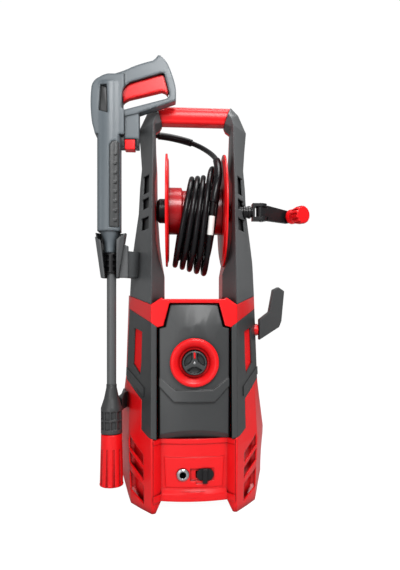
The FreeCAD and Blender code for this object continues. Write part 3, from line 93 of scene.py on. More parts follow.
def shown_rays(tree, mirrored):
    """The share of a ray that sees the white sweep: all of one that looks straight at it or
    through glass, and of one from a glossy face the share that is given."""
    path = tree.nodes.new("ShaderNodeLightPath")
    within = tree.nodes.new("ShaderNodeMath")
    within.operation = "MULTIPLY"
    within.inputs[1].default_value = mirrored
    tree.links.new(path.outputs["Is Glossy Ray"], within.inputs[0])
    first = tree.nodes.new("ShaderNodeMath")
    first.operation = "MAXIMUM"
    tree.links.new(path.outputs["Is Camera Ray"], first.inputs[0])
    tree.links.new(within.outputs[0], first.inputs[1])
    both = tree.nodes.new("ShaderNodeMath")
    both.operation = "MAXIMUM"
    tree.links.new(first.outputs[0], both.inputs[0])
    tree.links.new(path.outputs["Is Transmission Ray"], both.inputs[1])
    return both.outputs[0]


SKY_LIGHT = 0.30
SKY_SEEN = 1.02
SKY_MIRRORED = 0.10
world = bpy.data.worlds.new("Studio")
world.use_nodes = True
stage.world = world
sky = world.node_tree
sky.nodes.clear()
ambient = sky.nodes.new("ShaderNodeBackground")
ambient.inputs["Color"].default_value = (1, 1, 1, 1)
ambient.inputs["Strength"].default_value = SKY_LIGHT
backdrop = sky.nodes.new("ShaderNodeBackground")
backdrop.inputs["Color"].default_value = (1, 1, 1, 1)
backdrop.inputs["Strength"].default_value = SKY_SEEN
chosen = sky.nodes.new("ShaderNodeMixShader")
sky_out = sky.nodes.new("ShaderNodeOutputWorld")
sky.links.new(shown_rays(sky, SKY_MIRRORED), chosen.inputs[0])
sky.links.new(ambient.outputs[0], chosen.inputs[1])
sky.links.new(backdrop.outputs[0], chosen.inputs[2])
sky.links.new(chosen.outputs[0], sky_out.inputs["Surface"])

for name, spot, aim, size, power in (
        ("KeyLamp", (0.22, -1.60, 1.65), (0, 0, 0.40), 0.7, 36),
        ("FillLamp", (-1.0, -2.2, 0.5), (0, 0, 0.25), 1.2, 14),
        ("TopLamp", (0.35, 0.0, 2.0), (0, 0, 0.6), 0.9, 24)):
    lamp_data = bpy.data.lights.new(name, "AREA")
    lamp_data.size = size
    lamp_data.energy = power
    lamp = bpy.data.objects.new(name, lamp_data)
    stage.collection.objects.link(lamp)
    lamp.location = spot
    away = np.array(spot) - np.array(aim)
    lamp.rotation_euler = (math.atan2(math.hypot(away[0], away[1]), away[2]), 0,
                           math.atan2(away[0], -away[1]))

# The paper glows for the camera and keeps a part of its own shade, so that the machine's shadow
# shows on it. In mirror images it hardly glows, and its colour is darker.
FLOOR_HALF = 9
FLOOR_FRONT = -6
FLOOR_BACK = 12
PAPER_COLOUR = (0.8, 0.8, 0.8, 1)
PAPER_COLOUR_MIRRORED = (0.35, 0.35, 0.35, 1)
PAPER_GLOW = 1.14
PAPER_GLOW_SHARE = 0.86
PAPER_GLOW_MIRRORED = 0.08
floor_mesh = bpy.data.meshes.new("Floor")
floor_mesh.from_pydata([(-FLOOR_HALF, FLOOR_FRONT, 0), (FLOOR_HALF, FLOOR_FRONT, 0),
                        (FLOOR_HALF, FLOOR_BACK, 0), (-FLOOR_HALF, FLOOR_BACK, 0)], [],
                       [(0, 1, 2, 3)])
floor = bpy.data.objects.new("Floor", floor_mesh)
stage.collection.objects.link(floor)
paper = bpy.data.materials.new("White paper")
paper.use_nodes = True
tree = paper.node_tree
tree.nodes.clear()
matt = tree.nodes.new("ShaderNodeBsdfDiffuse")
paper_rays = tree.nodes.new("ShaderNodeLightPath")
paper_tone = tree.nodes.new("ShaderNodeMix")
paper_tone.data_type = "RGBA"
paper_tone.inputs["A"].default_value = PAPER_COLOUR
paper_tone.inputs["B"].default_value = PAPER_COLOUR_MIRRORED
tree.links.new(paper_rays.outputs["Is Glossy Ray"], paper_tone.inputs["Factor"])
tree.links.new(paper_tone.outputs["Result"], matt.inputs["Color"])
glow = tree.nodes.new("ShaderNodeEmission")
glow.inputs["Strength"].default_value = PAPER_GLOW
veil = tree.nodes.new("ShaderNodeMixShader")
glow_share = tree.nodes.new("ShaderNodeMath")
glow_share.operation = "MULTIPLY"
glow_share.inputs[1].default_value = PAPER_GLOW_SHARE
paper_out = tree.nodes.new("ShaderNodeOutputMaterial")
tree.links.new(shown_rays(tree, PAPER_GLOW_MIRRORED), glow_share.inputs[0])
tree.links.new(glow_share.outputs[0], veil.inputs[0])
tree.links.new(matt.outputs[0], veil.inputs[1])
tree.links.new(glow.outputs[0], veil.inputs[2])
tree.links.new(veil.outputs[0], paper_out.inputs["Surface"])
floor_mesh.materials.append(paper)


# Housing. Two red glossy shells moulded in polypropylene and screwed together at the back, with
# a red band and deck on top. Their corners are rounded by the mould and their skin is smooth.
def moulded_skin():
    """Shader group of a moulded surface: a slow drift between two colours, a fine grain for the
    height and a slow change of roughness, all from Object coordinates."""
    group = bpy.data.node_groups.new("Moulded skin", "ShaderNodeTree")
    for socket, kind, value in (
            ("Colour", "NodeSocketColor", (0.5, 0.5, 0.5, 1)),
            ("Drift colour", "NodeSocketColor", (0.4, 0.4, 0.4, 1)),
            ("Grain size", "NodeSocketFloat", 900.0),
            ("Rough low", "NodeSocketFloat", 0.3),
            ("Rough high", "NodeSocketFloat", 0.4)):
        made = group.interface.new_socket(socket, in_out="INPUT", socket_type=kind)
        made.default_value = value
    for socket, kind in (("Colour", "NodeSocketColor"), ("Roughness", "NodeSocketFloat"),
                         ("Height", "NodeSocketFloat")):
        group.interface.new_socket(socket, in_out="OUTPUT", socket_type=kind)
    nodes = group.nodes
    given = nodes.new("NodeGroupInput")
    result = nodes.new("NodeGroupOutput")
    place = nodes.new("ShaderNodeTexCoord")
    slow = nodes.new("ShaderNodeTexNoise")
    slow.inputs["Scale"].default_value = 14
    slow.inputs["Detail"].default_value = 3
    fine = nodes.new("ShaderNodeTexNoise")
    fine.inputs["Detail"].default_value = 2
    tint = nodes.new("ShaderNodeMix")
    tint.data_type = "RGBA"
    shine = nodes.new("ShaderNodeMapRange")
    join = group.links.new
    join(place.outputs["Object"], slow.inputs["Vector"])
    join(place.outputs["Object"], fine.inputs["Vector"])
    join(given.outputs["Grain size"], fine.inputs["Scale"])
    join(slow.outputs[0], tint.inputs["Factor"])
    join(given.outputs["Colour"], tint.inputs["A"])
    join(given.outputs["Drift colour"], tint.inputs["B"])
    join(slow.outputs[0], shine.inputs["Value"])
    join(given.outputs["Rough low"], shine.inputs["To Min"])
    join(given.outputs["Rough high"], shine.inputs["To Max"])
    join(tint.outputs["Result"], result.inputs["Colour"])
    join(shine.outputs["Result"], result.inputs["Roughness"])
    join(fine.outputs[0], result.inputs["Height"])
    return group


skin_group = moulded_skin()

# The share of a grain's relief that shows, how near walls stand that darken a hollow with
# painted shade, and how many samples are taken for a hollow or an edge.
GRAIN_SHARE = 0.35
PAINTED_SHADE_REACH = 0.020
SAMPLES = 6
# Painted shade: the colour falls to the third of these shares of itself as the open share
# around a point falls between the first two.
PAINTED_SHADE_OPEN = 0.85
PAINTED_SHADE_SHUT = 0.35
PAINTED_SHADE_TONE = 0.25


def moulded(name, colour, drift, rough, grain, depth, metal=0.0, spec=0.3, edge=0.0012):
    """A material of moulded plastic or cast metal with its own drift, gloss and grain. Its sharp
    edges catch the light as if they were rounded by the width of edge, and its hollows are
    darkened with painted shade where walls stand within 20 mm."""
    material = bpy.data.materials.new(name)
    material.use_nodes = True
    tree = material.node_tree
    gloss = tree.nodes["Principled BSDF"]
    gloss.inputs["Metallic"].default_value = metal
    gloss.inputs["Specular IOR Level"].default_value = spec
    surface = tree.nodes.new("ShaderNodeGroup")
    surface.node_tree = skin_group
    for socket, value in (("Colour", (*colour, 1)), ("Drift colour", (*drift, 1)),
                          ("Grain size", grain), ("Rough low", rough[0]),
                          ("Rough high", rough[1])):
        surface.inputs[socket].default_value = value
    relief = tree.nodes.new("ShaderNodeBump")
    relief.inputs["Strength"].default_value = GRAIN_SHARE
    relief.inputs["Distance"].default_value = depth
    openness = tree.nodes.new("ShaderNodeAmbientOcclusion")
    openness.samples = SAMPLES
    openness.inputs["Distance"].default_value = PAINTED_SHADE_REACH
    # Painted shade: the colour is multiplied down in hollows, by how shut in they are.
    painted_shade_ramp = tree.nodes.new("ShaderNodeMapRange")
    painted_shade_ramp.inputs["From Min"].default_value = PAINTED_SHADE_SHUT
    painted_shade_ramp.inputs["From Max"].default_value = PAINTED_SHADE_OPEN
    painted_shade_ramp.inputs["To Min"].default_value = PAINTED_SHADE_TONE
    painted_crevice_shade = tree.nodes.new("ShaderNodeMix")
    painted_crevice_shade.data_type = "RGBA"
    painted_crevice_shade.blend_type = "MULTIPLY"
    painted_crevice_shade.inputs["Factor"].default_value = 1
    worn = tree.nodes.new("ShaderNodeBevel")
    worn.samples = SAMPLES
    worn.inputs["Radius"].default_value = edge
    tree.links.new(openness.outputs["AO"], painted_shade_ramp.inputs["Value"])
    tree.links.new(surface.outputs["Colour"], painted_crevice_shade.inputs["A"])
    tree.links.new(painted_shade_ramp.outputs["Result"], painted_crevice_shade.inputs["B"])
    tree.links.new(painted_crevice_shade.outputs["Result"], gloss.inputs["Base Color"])
    tree.links.new(surface.outputs["Roughness"], gloss.inputs["Roughness"])
    tree.links.new(surface.outputs["Height"], relief.inputs["Height"])
    tree.links.new(worn.outputs["Normal"], relief.inputs["Normal"])
    tree.links.new(relief.outputs["Normal"], gloss.inputs["Normal"])
    return material


def seat(piece, node, material, body=None):
    """Give a piece its finish and let it ride with the node's body."""
    piece.data.materials.clear()
    piece.data.materials.append(material)
    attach(piece, body or frame["nodes"][node]["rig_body"])
    return piece


# Corners closer than this are one; faces within this angle are one; edges over this are rounded.
SAME_SPOT = 2e-5
SAME_FACE = math.radians(0.6)
SHARP_EDGE = math.radians(24)


def softened(node, material, width, steps=2):
    """A node's own form with rounded edges: its triangles are merged, flat ones are joined, and
    each sharp edge gets a rounding of the given width in the given steps."""
    mesh = frame["nodes"][node].data.copy()
    shape = bmesh.new()
    shape.from_mesh(mesh)
    bmesh.ops.remove_doubles(shape, verts=shape.verts, dist=SAME_SPOT)
    bmesh.ops.dissolve_limit(shape, angle_limit=SAME_FACE, verts=shape.verts, edges=shape.edges)
    for face in shape.faces:
        face.smooth = True
    shape.to_mesh(mesh)
    shape.free()
    piece = bpy.data.objects.new(node + "_skin", mesh)
    stage.collection.objects.link(piece)
    rounding = piece.modifiers.new("Rounding", "BEVEL")
    rounding.width = width
    rounding.segments = steps
    rounding.limit_method = "ANGLE"
    rounding.angle_limit = SHARP_EDGE
    rounding.use_clamp_overlap = True
    even_shade = piece.modifiers.new("EvenShade", "WEIGHTED_NORMAL")
    even_shade.keep_sharp = True
    seat(piece, node, material)
    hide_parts(node)
    return piece


red = moulded("Red gloss plastic", colour=(0.74, 0.005, 0.008), drift=(0.68, 0.004, 0.006),
              rough=(0.28, 0.36), grain=700, depth=0.00004, spec=0.3, edge=0.004)
for node, width in (("base_housing", 0.0012), ("rear_housing", 0.0012), ("top_deck", 0.0016)):
    softened(node, red, width)

# Side covers and front panel. Dark grey sheets with a fine spark-eroded grain, clipped over the
# housing's front corners and between them; red inserts show through the covers' windows.
dark_grey = moulded("Dark grained plastic", colour=(0.040, 0.042, 0.043),
                    drift=(0.034, 0.036, 0.037), rough=(0.32, 0.42), grain=1500, depth=0.00008,
                    spec=0.4, edge=0.004)
for node, width in (("side_cover_left", 0.0012), ("side_cover_right", 0.0012),
                    ("front_panel", 0.0010)):
    softened(node, dark_grey, width)
window_red = moulded("Red satin plastic", colour=(0.80, 0.005, 0.008), drift=(0.74, 0.004, 0.006),
                     rough=(0.5, 0.6), grain=900, depth=0.00004, spec=0.12)
for node in ("side_window_left", "side_window_right"):
    seat(frame["nodes"][node], node, window_red)

# Switch. A red dished ring is pressed into the panel, and a dark grey three-lobed knob with a
# red pointer turns in it, held on the spindle of the switch behind by a steel screw.
softened("knob_ring", red, 0.0006)

# A piece made of rings is shaded as sharp where it turns by more than this.
SHARP_TURN = math.radians(35)


def mesh_piece(name, grid):
    """A mesh piece from an array of rings of points; each ring closes on itself and the first
    and last rings are capped."""
    rows, round_count = grid.shape[:2]
    spots = grid.reshape(-1, 3)
    row, col = np.meshgrid(np.arange(rows - 1), np.arange(round_count), indexing="ij")
    after = (col + 1) % round_count
    quads = np.stack([row * round_count + col, row * round_count + after,
                      (row + 1) * round_count + after, (row + 1) * round_count + col], axis=-1)
    faces = quads.reshape(-1, 4).tolist()
    faces.append(list(range(round_count - 1, -1, -1)))
    faces.append(list(range((rows - 1) * round_count, rows * round_count)))
    mesh = bpy.data.meshes.new(name)
    mesh.from_pydata(spots.tolist(), [], faces)
    shape = bmesh.new()
    shape.from_mesh(mesh)
    bmesh.ops.recalc_face_normals(shape, faces=shape.faces)
    shape.to_mesh(mesh)
    shape.free()
    mesh.polygons.foreach_set("use_smooth", [True] * len(faces))
    mesh.set_sharp_from_angle(angle=SHARP_TURN)
    piece = bpy.data.objects.new(name, mesh)
    stage.collection.objects.link(piece)
    return piece


RING_MID = np.array([0.0, -0.1496, 0.294])
KNOB_R = 0.0235
KNOB_HIGH = 0.0150
HUB_R = 0.0075
ARM_HALF = 0.0042
ARM_TURNS = (90, 210, 330)
POCKET_R = 0.0205
POCKET_DEEP = 0.0075
POCKET_SLOPE = 0.0012
POCKET_SLOPE_OUT = 0.0010
RIM_WIDE = 0.003
RIM_DROP = 0.0012


def three_lobed(x, z):
    """Height of the knob's face: a hub and three arms stand over pockets, whose floor is eased
    into their walls as 3 s^2 - 2 s^3, and the rim outside them falls away as a square."""
    reach = np.hypot(x, z)
    arms = np.full_like(x, 1.0)
    for turn in ARM_TURNS:
        c, s = math.cos(math.radians(turn)), math.sin(math.radians(turn))
        along, off = x * c + z * s, np.abs(x * s - z * c)
        arms = np.minimum(arms, np.where(along > 0, off, reach))
    sunk = np.clip((arms - ARM_HALF) / POCKET_SLOPE, 0, 1)
    sunk *= np.clip((POCKET_R - reach) / POCKET_SLOPE_OUT, 0, 1)
    sunk *= np.clip((reach - HUB_R) / POCKET_SLOPE, 0, 1)
    eased = sunk * sunk * (3 - 2 * sunk)
    fallen = np.clip((reach - POCKET_R) / RIM_WIDE, 0, 1) ** 2
    return KNOB_HIGH - POCKET_DEEP * eased - RIM_DROP * fallen


ROUND_COUNT = 120
RING_COUNT = 56
SPINDLE_R = 0.004
swing = np.linspace(0, 2 * np.pi, ROUND_COUNT, endpoint=False)
reach = np.linspace(0.0004, 1, RING_COUNT)[:, None] * KNOB_R
face_x, face_z = reach * np.cos(swing), reach * np.sin(swing)
face = np.stack([face_x, -three_lobed(face_x, face_z), face_z], axis=2)
# radius and height of the rings down the knob's side, over its back and along its spindle
BACK_RINGS = ((KNOB_R, 0.0128), (KNOB_R, 0.001), (KNOB_R - 0.001, -0.001),
              (SPINDLE_R, -0.001), (SPINDLE_R, -0.020))
back = [np.stack([r * np.cos(swing), np.full(ROUND_COUNT, -height), r * np.sin(swing)], axis=1)
        for r, height in BACK_RINGS]
knob = mesh_piece("power_knob_skin", np.concatenate([face, np.array(back)]) + RING_MID)
seat(knob, "power_knob", dark_grey)
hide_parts("power_knob")

PAD_RINGS = 6
PAD_AROUND = 48


def cushion_pad(name, corners_x, corners_z, back, thick):
    """A pad with rounded edges: its outline shrinks towards the front as a quarter circle, and
    its face is flat; the outline is a ring of points in x and z."""
    mid_x, mid_z = np.mean(corners_x), np.mean(corners_z)
    size = np.hypot(corners_x - mid_x, corners_z - mid_z)
    rings = []
    for angle in np.linspace(0, np.pi / 2, PAD_RINGS):
        share = 1 - thick * (1 - math.cos(angle)) / size
        depth = back - thick * math.sin(angle)
        rings.append(np.stack([mid_x + (corners_x - mid_x) * share, np.full(len(size), depth),
                               mid_z + (corners_z - mid_z) * share], axis=1))
    return mesh_piece(name, np.array(rings))


def round_ring(mid_x, mid_z, half_x, half_z, power):
    """A ring of points in x and z: an oval whose cosine and sine are raised to a power, so that
    a small power gives a squarer one."""
    angle = np.linspace(0, 2 * np.pi, PAD_AROUND, endpoint=False)
    c, s = np.cos(angle), np.sin(angle)
    return (mid_x + half_x * np.sign(c) * np.abs(c) ** power,
            mid_z + half_z * np.sign(s) * np.abs(s) ** power)


# The pointer and the screw begin 0.2 mm inside the knob's face.
KNOB_PAD_Y = -0.1644
pointer_ring = round_ring(mid_x=0, mid_z=0.3085, half_x=0.0021, half_z=0.0062, power=0.5)
pointer = cushion_pad("knob_pointer", *pointer_ring, back=KNOB_PAD_Y, thick=0.0011)
seat(pointer, "knob_ring", red, body="power_knob")
screw_ring = round_ring(mid_x=0, mid_z=0.294, half_x=0.0027, half_z=0.0027, power=1)
knob_screw = cushion_pad("knob_screw", *screw_ring, back=KNOB_PAD_Y, thick=0.0013)
steel = moulded("Drawn steel", colour=(0.55, 0.55, 0.56), drift=(0.50, 0.50, 0.51),
                rough=(0.22, 0.32), grain=900, depth=0.00002, metal=1.0, edge=0.0003)
seat(knob_screw, "crank_pins", steel, body="power_knob")

# Columns and grip. Each column is two shells screwed together, mid grey in front and red
# behind; the grip is a red tube with flattened sides, clamped between them.
mid_grey = moulded("Mid grey plastic", colour=(0.084, 0.088, 0.091), drift=(0.074, 0.078, 0.080),
                   rough=(0.36, 0.46), grain=1400, depth=0.00006, spec=0.4, edge=0.004)
for side in ("left", "right"):
    softened("column_front_" + side, mid_grey, 0.0009)
    softened("column_rear_" + side, red, 0.0009)
softened("carry_grip", red, 0.0016)

# The right column's outer face from below its lowest slot to over its highest: the height, then
# x and y of the front ridge, then x and y of the corner behind it.
COLUMN_FACE = np.array([
    (0.548, 0.084, -0.1288, 0.1242, -0.0337), (0.602, 0.084, -0.122, 0.1155, -0.044),
    (0.657, 0.084, -0.114, 0.1125, -0.046), (0.690, 0.0836, -0.109, 0.1092, -0.0477)])
# Where the middle of the black sheet of painted shade is across the face, how far it reaches to
# each side of that, how deep behind the face it lies, half its thickness, and the power that
# squares its section.
SHADE_SHEET_MID = 0.54
SHADE_SHEET_HALF = 0.31
SHADE_SHEET_DEEP = 0.0066
SHADE_SHEET_HALF_THICK = 0.0006
SHADE_SHEET_POWER = 0.4
SHADE_SHEET_RINGS = 24
SHADE_SHEET_AROUND = 32


def slot_shade_sheet(sign):
    """A black sheet behind a column's slots, as painted shade inside them: a flattened ring, a
    cosine and a sine raised to a power, follows the column's outer face 6.6 mm inside it."""
    height = np.linspace(COLUMN_FACE[0, 0], COLUMN_FACE[-1, 0], SHADE_SHEET_RINGS)
    ridge_x, ridge_y, far_x, far_y = [
        np.interp(height, COLUMN_FACE[:, 0], COLUMN_FACE[:, i])[:, None] for i in range(1, 5)]
    width = np.hypot(far_x - ridge_x, far_y - ridge_y)
    angle = np.linspace(0, 2 * np.pi, SHADE_SHEET_AROUND, endpoint=False)
    c, s = np.cos(angle), np.sin(angle)
    share = SHADE_SHEET_MID + SHADE_SHEET_HALF * np.sign(c) * np.abs(c) ** SHADE_SHEET_POWER
    inside = SHADE_SHEET_DEEP + SHADE_SHEET_HALF_THICK * np.sign(s) * np.abs(s) ** SHADE_SHEET_POWER
    x = ridge_x + (far_x - ridge_x) * share - inside * (far_y - ridge_y) / width
    y = ridge_y + (far_y - ridge_y) * share + inside * (far_x - ridge_x) / width
    z = np.broadcast_to(height[:, None], x.shape)
    return np.stack([x * sign, y, z], axis=2)


black = moulded("Black plastic", colour=(0.012, 0.012, 0.013), drift=(0.008, 0.008, 0.009),
                rough=(0.28, 0.40), grain=1100, depth=0.00005, spec=0.25)
# Painted shade: black sheets stand in the columns behind their slots.
for side, sign in (("left", -1), ("right", 1)):
    shade_sheet = mesh_piece("column_shade_sheet_" + side, slot_shade_sheet(sign))
    seat(shade_sheet, "reel_bushes", black, body="frame")

# Reel. Two dished red flanges sit on a red moulded drum, whose red is darkened by painted
# shade, and whose journals turn in black bushes in the columns' inner walls.
for node in ("reel_flange_left", "reel_flange_right"):
    softened(node, red, 0.0006)
# Painted shade: the drum's red is darker than the flanges' red.
drum_red_with_painted_shade = moulded("Red plastic with painted shade", colour=(0.42, 0.003, 0.007), drift=(0.34, 0.002, 0.005),
                   rough=(0.22, 0.34), grain=500, depth=0.00006, spec=0.4)
softened("reel_drum", drum_red_with_painted_shade, 0.0008)
softened("reel_bushes", black, 0.0006)

# Hose. Black high-pressure hose of 11 mm. Its outer layer hangs in loose loops over the layer
# under it; the free end has two moulded sleeves, and runs up behind the grip and the left column
# and forward into the gun. A white tag with no print is wrapped round the last loop.
HOSE_WIDE = 0.011
REEL_Y = -0.060
REEL_Z = 0.606
TURNS = 5
PER_TURN = 16
# The spline runs inside its control points, so that the ovals are drawn larger by this.
OVAL = 1.02
# Along the reel's axis: where the turns' tops and feet begin, and how far they travel.
TOP_FROM = -0.014
TOP_TRAVEL = 0.060
FOOT_FROM = -0.046
FOOT_TRAVEL = 0.076


def wind_spots(turns, hang, rise, deep, shift):
    """Where the middle line of a winding is after numbers of turns: a slanted oval round the
    reel, z = (rise - hang) / 2 + (rise + hang) / 2 cos a, that moves along the axis."""
    share = turns / TURNS
    top_x = TOP_FROM + TOP_TRAVEL * share
    foot_x = FOOT_FROM + FOOT_TRAVEL * share
    angle = 2 * np.pi * turns
    across = (top_x + foot_x) / 2 + (top_x - foot_x) / 2 * np.cos(angle) + shift
    height = (rise - hang) / 2 + (rise + hang) / 2 * OVAL * np.cos(angle)
    return np.stack([across, REEL_Y + deep * OVAL * np.sin(angle), REEL_Z + height], axis=1)


def hose_line(name, points):
    """A curve of one open spline of order 3 whose control points are the given ones, as thick as
    the hose."""
    line = bpy.data.curves.new(name, "CURVE")
    line.dimensions = "3D"
    spline = line.splines.new("NURBS")
    spline.points.add(len(points) - 1)
    flat = np.concatenate([points, np.ones((len(points), 1))], axis=1)
    spline.points.foreach_set("co", flat.ravel())
    spline.order_u = 3
    spline.use_endpoint_u = True
    spline.resolution_u = 6
    line.bevel_depth = HOSE_WIDE / 2
    line.bevel_resolution = 4
    line.use_fill_caps = True
    piece = bpy.data.objects.new(name, line)
    stage.collection.objects.link(piece)
    return piece


rubber = moulded("Hose rubber", colour=(0.008, 0.008, 0.009), drift=(0.005, 0.005, 0.006),
                 rough=(0.22, 0.32), grain=500, depth=0.00005, spec=0.2)

# The outer layer hangs lower and rises higher from turn to turn. Near the fourth turn one loop
# stands up by 18 mm more and leans 14 mm to the right.
outer_turns = np.linspace(0.25, TURNS - 0.25, int((TURNS - 0.5) * PER_TURN) + 1)
outer_share = outer_turns / TURNS
loose_loop = 0.018 * np.exp(-((outer_turns - 4) / 0.35) ** 2)
leaning = 0.014 * np.exp(-((outer_turns - 4.1) / 0.15) ** 2)
outer_hang = 0.112 + 0.022 * outer_share
outer_rise = 0.066 + 0.008 * outer_share + loose_loop
outer_points = wind_spots(outer_turns, outer_hang, outer_rise, deep=0.076, shift=leaning)
from_flange = np.array([(-0.0503, 0.016, 0.6084), (-0.0393, 0.016, 0.6084)])
to_lead = np.array([(0.0357, -0.136, 0.5874)])
outer_points = np.concatenate([from_flange, outer_points, to_lead])
winding = hose_line("hose_turns_outer", outer_points)
seat(winding, "hose_winding", rubber)
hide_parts("hose_winding")

inner_turns = np.linspace(0.1, TURNS - 0.1, int((TURNS - 0.2) * PER_TURN) + 1)
inner_points = wind_spots(inner_turns, hang=0.100, rise=0.054, deep=0.063, shift=0.006)
inner_layer = hose_line("hose_turns_inner", inner_points)
seat(inner_layer, "hose_core", rubber)
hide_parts("hose_core")

lead_points = np.array([
    (0.0357, -0.136, 0.5874), (0.0398, -0.136, 0.6272), (0.0495, -0.127, 0.660),
    (0.050, -0.096, 0.700), (0.0475, -0.060, 0.721), (0.036, -0.024, 0.743),
    (0.014, 0.006, 0.765), (-0.014, 0.022, 0.780), (-0.060, 0.027, 0.791),
    (-0.097, 0.018, 0.790), (-0.121, -0.002, 0.785), (-0.130, -0.0295, 0.780),
    (-0.130, -0.049, 0.780)])
lead_line = hose_line("hose_free_line", lead_points)


def middle_line(line):
    """Points of a curve's own middle line, read from the curve with its thickness off."""
    bare = line.data.copy()
    bare.bevel_depth = 0
    probe = bpy.data.objects.new("probe", bare)
    mesh = bpy.data.meshes.new_from_object(probe)
    spots = np.zeros(len(mesh.vertices) * 3)
    mesh.vertices.foreach_get("co", spots)
    bpy.data.objects.remove(probe)
    bpy.data.meshes.remove(mesh)
    return spots.reshape(-1, 3)


def gone_along(spots):
    """How far each point of a path is from its start: the sum of the steps before it."""
    steps = np.linalg.norm(np.diff(spots, axis=0), axis=1)
    return np.concatenate([[0], np.cumsum(steps)])


def spots_at(spots, distances):
    """Points of a path at the given distances from its start, on straight lines between its
    own points."""
    gone = gone_along(spots)
    return np.stack([np.interp(distances, gone, spots[:, i]) for i in range(3)], axis=1)


# A direction that no path here runs along, and how many points a ring round a path has.
OFF_PATH = (0.31, 0.17, 0.94)
TUBE_AROUND = 28


def tube_grid(path, radii):
    """Rings of points round a path: each ring stands square to the path's own direction."""
    course = np.gradient(path, axis=0)
    course /= np.linalg.norm(course, axis=1, keepdims=True)
    side = np.cross(course, OFF_PATH)
    side /= np.linalg.norm(side, axis=1, keepdims=True)
    up = np.cross(side, course)
    angle = np.linspace(0, 2 * np.pi, TUBE_AROUND, endpoint=False)[None, :, None]
    ring = side[:, None] * np.cos(angle) - up[:, None] * np.sin(angle)
    return path[:, None] + ring * np.asarray(radii)[:, None, None]


SLEEVE_RINGS = 40
LIP_RINGS = 5


def sleeve_on(name, line, start, end, wide, rounding=0.0012):
    """A sleeve over a stretch of a hose, from one share of its length to another; its radius
    rises at both ends as a quarter circle."""
    spots = middle_line(line)
    reach = gone_along(spots)[-1]
    along = np.linspace(start * reach, end * reach, SLEEVE_RINGS)
    lip = np.linspace(0, 1, LIP_RINGS)[:-1]
    along = np.concatenate([along[0] + lip * rounding, along[2:-2],
                            along[-1] - lip[::-1] * rounding])
    from_end = np.minimum(along - along[0], along[-1] - along)
    share = np.clip(from_end / rounding, 0, 1)
    radii = wide / 2 - rounding + rounding * np.sqrt(1 - (1 - share) ** 2)
    return mesh_piece(name, tube_grid(spots_at(spots, along), radii))


SLEEVE_WIDE = 0.016
LABEL_WIDE = 0.0128
label = moulded("White label", colour=(0.72, 0.72, 0.70), drift=(0.62, 0.62, 0.60),
                rough=(0.4, 0.5), grain=900, depth=0.00005, spec=0.3, edge=0.0003)
hose_label = sleeve_on("hose_label", winding, 0.984, 0.9985, LABEL_WIDE, rounding=0.0006)
seat(hose_label, "hose_winding", label)

low_sleeve = sleeve_on("hose_low_sleeve", lead_line, 0.053, 0.317, SLEEVE_WIDE)
top_sleeve = sleeve_on("hose_top_sleeve", lead_line, 0.602, 0.779, SLEEVE_WIDE)
LEAD_RINGS = 150
lead_middle = middle_line(lead_line)
course = spots_at(lead_middle, np.linspace(0, gone_along(lead_middle)[-1], LEAD_RINGS))
lead = mesh_piece("hose_free_end", tube_grid(course, np.full(LEAD_RINGS, HOSE_WIDE / 2)))
bpy.data.objects.remove(lead_line)
seat(low_sleeve, "hose_sleeve", rubber)
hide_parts("hose_sleeve")
# The free end and its upper sleeve get the hose's rubber and keep their place; their nodes are
# hidden.
for piece, node, slot in ((lead, "hose_lead", "rubber_hose"),
                          (top_sleeve, "hose_sleeve", "black_plastic")):
    piece.data.materials.append(rubber)
    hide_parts(node)
    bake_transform(piece)
softened("hose_plug", black, 0.0006)

# Crank. A black ribbed hub on the drum's journal ends in a fork; the arm folds in it on a steel
# pin, and a red fluted knob turns on a steel spindle at its end.
softened("crank_hub", black, 0.0007)
softened("crank_arm", black, 0.0012)
seat(frame["nodes"]["crank_pins"], "crank_pins", steel)
softened("crank_knob", red, 0.0007)

# Spray gun. A bluish grey body in two halves round the valve, with a dark grey ribbed insert in
# the foregrip, a dark grey pad that darkens the dip near its left edge, a red trigger, and a red
# hose release between two black catches.
blue_grey = moulded("Blue grey plastic", colour=(0.096, 0.114, 0.127),
                    drift=(0.086, 0.103, 0.115), rough=(0.32, 0.42), grain=1300, depth=0.00006,
                    spec=0.45, edge=0.007)
softened("gun_body", blue_grey, 0.0022, steps=3)
softened("foregrip_insert", dark_grey, 0.0008)
trigger_red = moulded("Red trigger plastic", colour=(0.74, 0.005, 0.008),
                      drift=(0.68, 0.004, 0.006), rough=(0.28, 0.36), grain=700, depth=0.00004,
                      spec=0.3, edge=0.008)
softened("trigger", trigger_red, 0.0015)
softened("hose_release_button", red, 0.0010)

DIP_PAD_CORNERS = np.array([(-0.1896, 0.7974), (-0.1864, 0.8476), (-0.1748, 0.8472),
                          (-0.1728, 0.7920)])
DIP_PAD_STEPS = 12
step = np.linspace(0, 1, DIP_PAD_STEPS, endpoint=False)[:, None]
dip_pad_edge = np.concatenate([DIP_PAD_CORNERS[i] * (1 - step) + DIP_PAD_CORNERS[(i + 1) % 4] * step
                             for i in range(4)])
# A dark grey pad makes the dip near the gun's left edge darker.
dip_pad = cushion_pad("gun_dip_pad", dip_pad_edge[:, 0], dip_pad_edge[:, 1], back=-0.1108, thick=0.0012)
seat(dip_pad, "foregrip_insert", dark_grey, body="gun")
for side, mid_x, half_x in (("left", -0.1461, 0.0056), ("right", -0.1143, 0.0034)):
    catch_ring = round_ring(mid_x, mid_z=0.7367, half_x=half_x, half_z=0.0110, power=0.4)
    catch = cushion_pad("hose_catch_" + side, *catch_ring, back=-0.1056, thick=0.0014)
    seat(catch, "foregrip_insert", black, body="gun")

# Lance. A mid grey tube with a black ribbed collar, a dark grey adapter with windows and the red
# nozzle cap that turns on it.
for node, material, width in (("lance_tube", mid_grey, 0.0004), ("lance_collar", black, 0.0005),
                              ("nozzle_adapter", dark_grey, 0.0005), ("nozzle_cap", red, 0.0006)):
    softened(node, material, width)

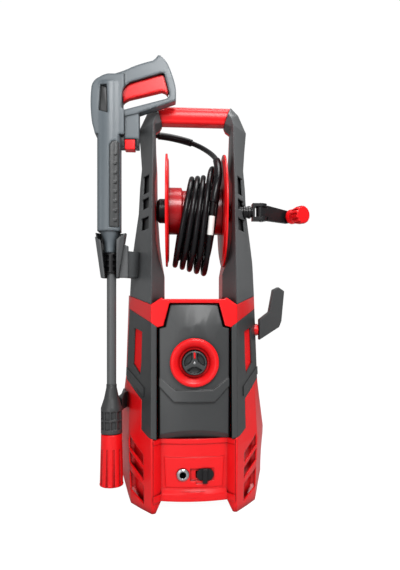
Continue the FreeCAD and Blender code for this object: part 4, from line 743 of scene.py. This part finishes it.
# Holders. The cup on the left column that the gun hangs in is a mid grey moulding, open at the
# front, and the rest behind the lance is a dark grey arm on the left side cover.
softened("gun_holder", mid_grey, 0.0012)
softened("lance_rest", dark_grey, 0.0012)

# Cord hook. A dark grey moulded hook for turns of the mains cord, which swivels on a red seat in
# the right side cover.
softened("hook_seat", red, 0.0006)
softened("cord_hook", dark_grey, 0.0020, steps=3)

# Outlet and latch. A turned, plated outlet in the base recess, with its black valve inside,
# whose disc is also painted shade deep in the bore, and the black latch of the hose's plug
# beside it.
plated = moulded("Plated brass", colour=(0.62, 0.62, 0.64), drift=(0.56, 0.56, 0.58),
                 rough=(0.16, 0.26), grain=700, depth=0.00002, metal=1.0)
softened("outlet_fitting", plated, 0.0005)
softened("outlet_latch", black, 0.0008)
# The black disc is the valve, and also painted shade deep in the bore.
valve_ring = round_ring(mid_x=-0.0225, mid_z=0.072, half_x=0.0062, half_z=0.0062, power=1)
valve = cushion_pad("outlet_valve", *valve_ring, back=-0.1182, thick=0.002)
seat(valve, "outlet_latch", black, body="frame")

# Base, wheels and back. The black tray carries everything; two black wheels turn on a steel
# axle behind the fenders, and the water inlet and the cord's gland stand out at the back.
for node, width in (("base_tray", 0.001), ("wheel_left", 0.0008), ("wheel_right", 0.0008),
                    ("cord_gland", 0.0005)):
    softened(node, black, width)
brass = moulded("Brass", colour=(0.60, 0.42, 0.16), drift=(0.54, 0.37, 0.13), rough=(0.25, 0.35),
                grain=700, depth=0.00002, metal=1.0)
softened("inlet_fitting", brass, 0.0005)
seat(frame["nodes"]["wheel_axle"], "wheel_axle", steel)
seat(frame["nodes"]["housing_screws"], "housing_screws", steel)

# Drive. The motor over the pump inside the closed housing: black casing and fan, enamelled
# windings, steel rotor and wobble plate, cast pump head, steel pistons and a brass pipe.
copper = moulded("Enamelled copper", colour=(0.45, 0.16, 0.06), drift=(0.38, 0.13, 0.05),
                 rough=(0.3, 0.4), grain=500, depth=0.0001, metal=1.0)
cast = moulded("Cast alloy", colour=(0.45, 0.45, 0.46), drift=(0.38, 0.38, 0.39),
               rough=(0.4, 0.55), grain=400, depth=0.0002, metal=1.0)
for node, material in (("motor_casing", black), ("motor_windings", copper),
                       ("motor_rotor", steel), ("cooling_fan", black), ("wobble_plate", steel),
                       ("pump_head", cast), ("pump_piston_1", steel), ("pump_piston_2", steel),
                       ("pump_piston_3", steel), ("pressure_pipe", brass),
                       ("power_switch", black)):
    seat(frame["nodes"][node], node, material)
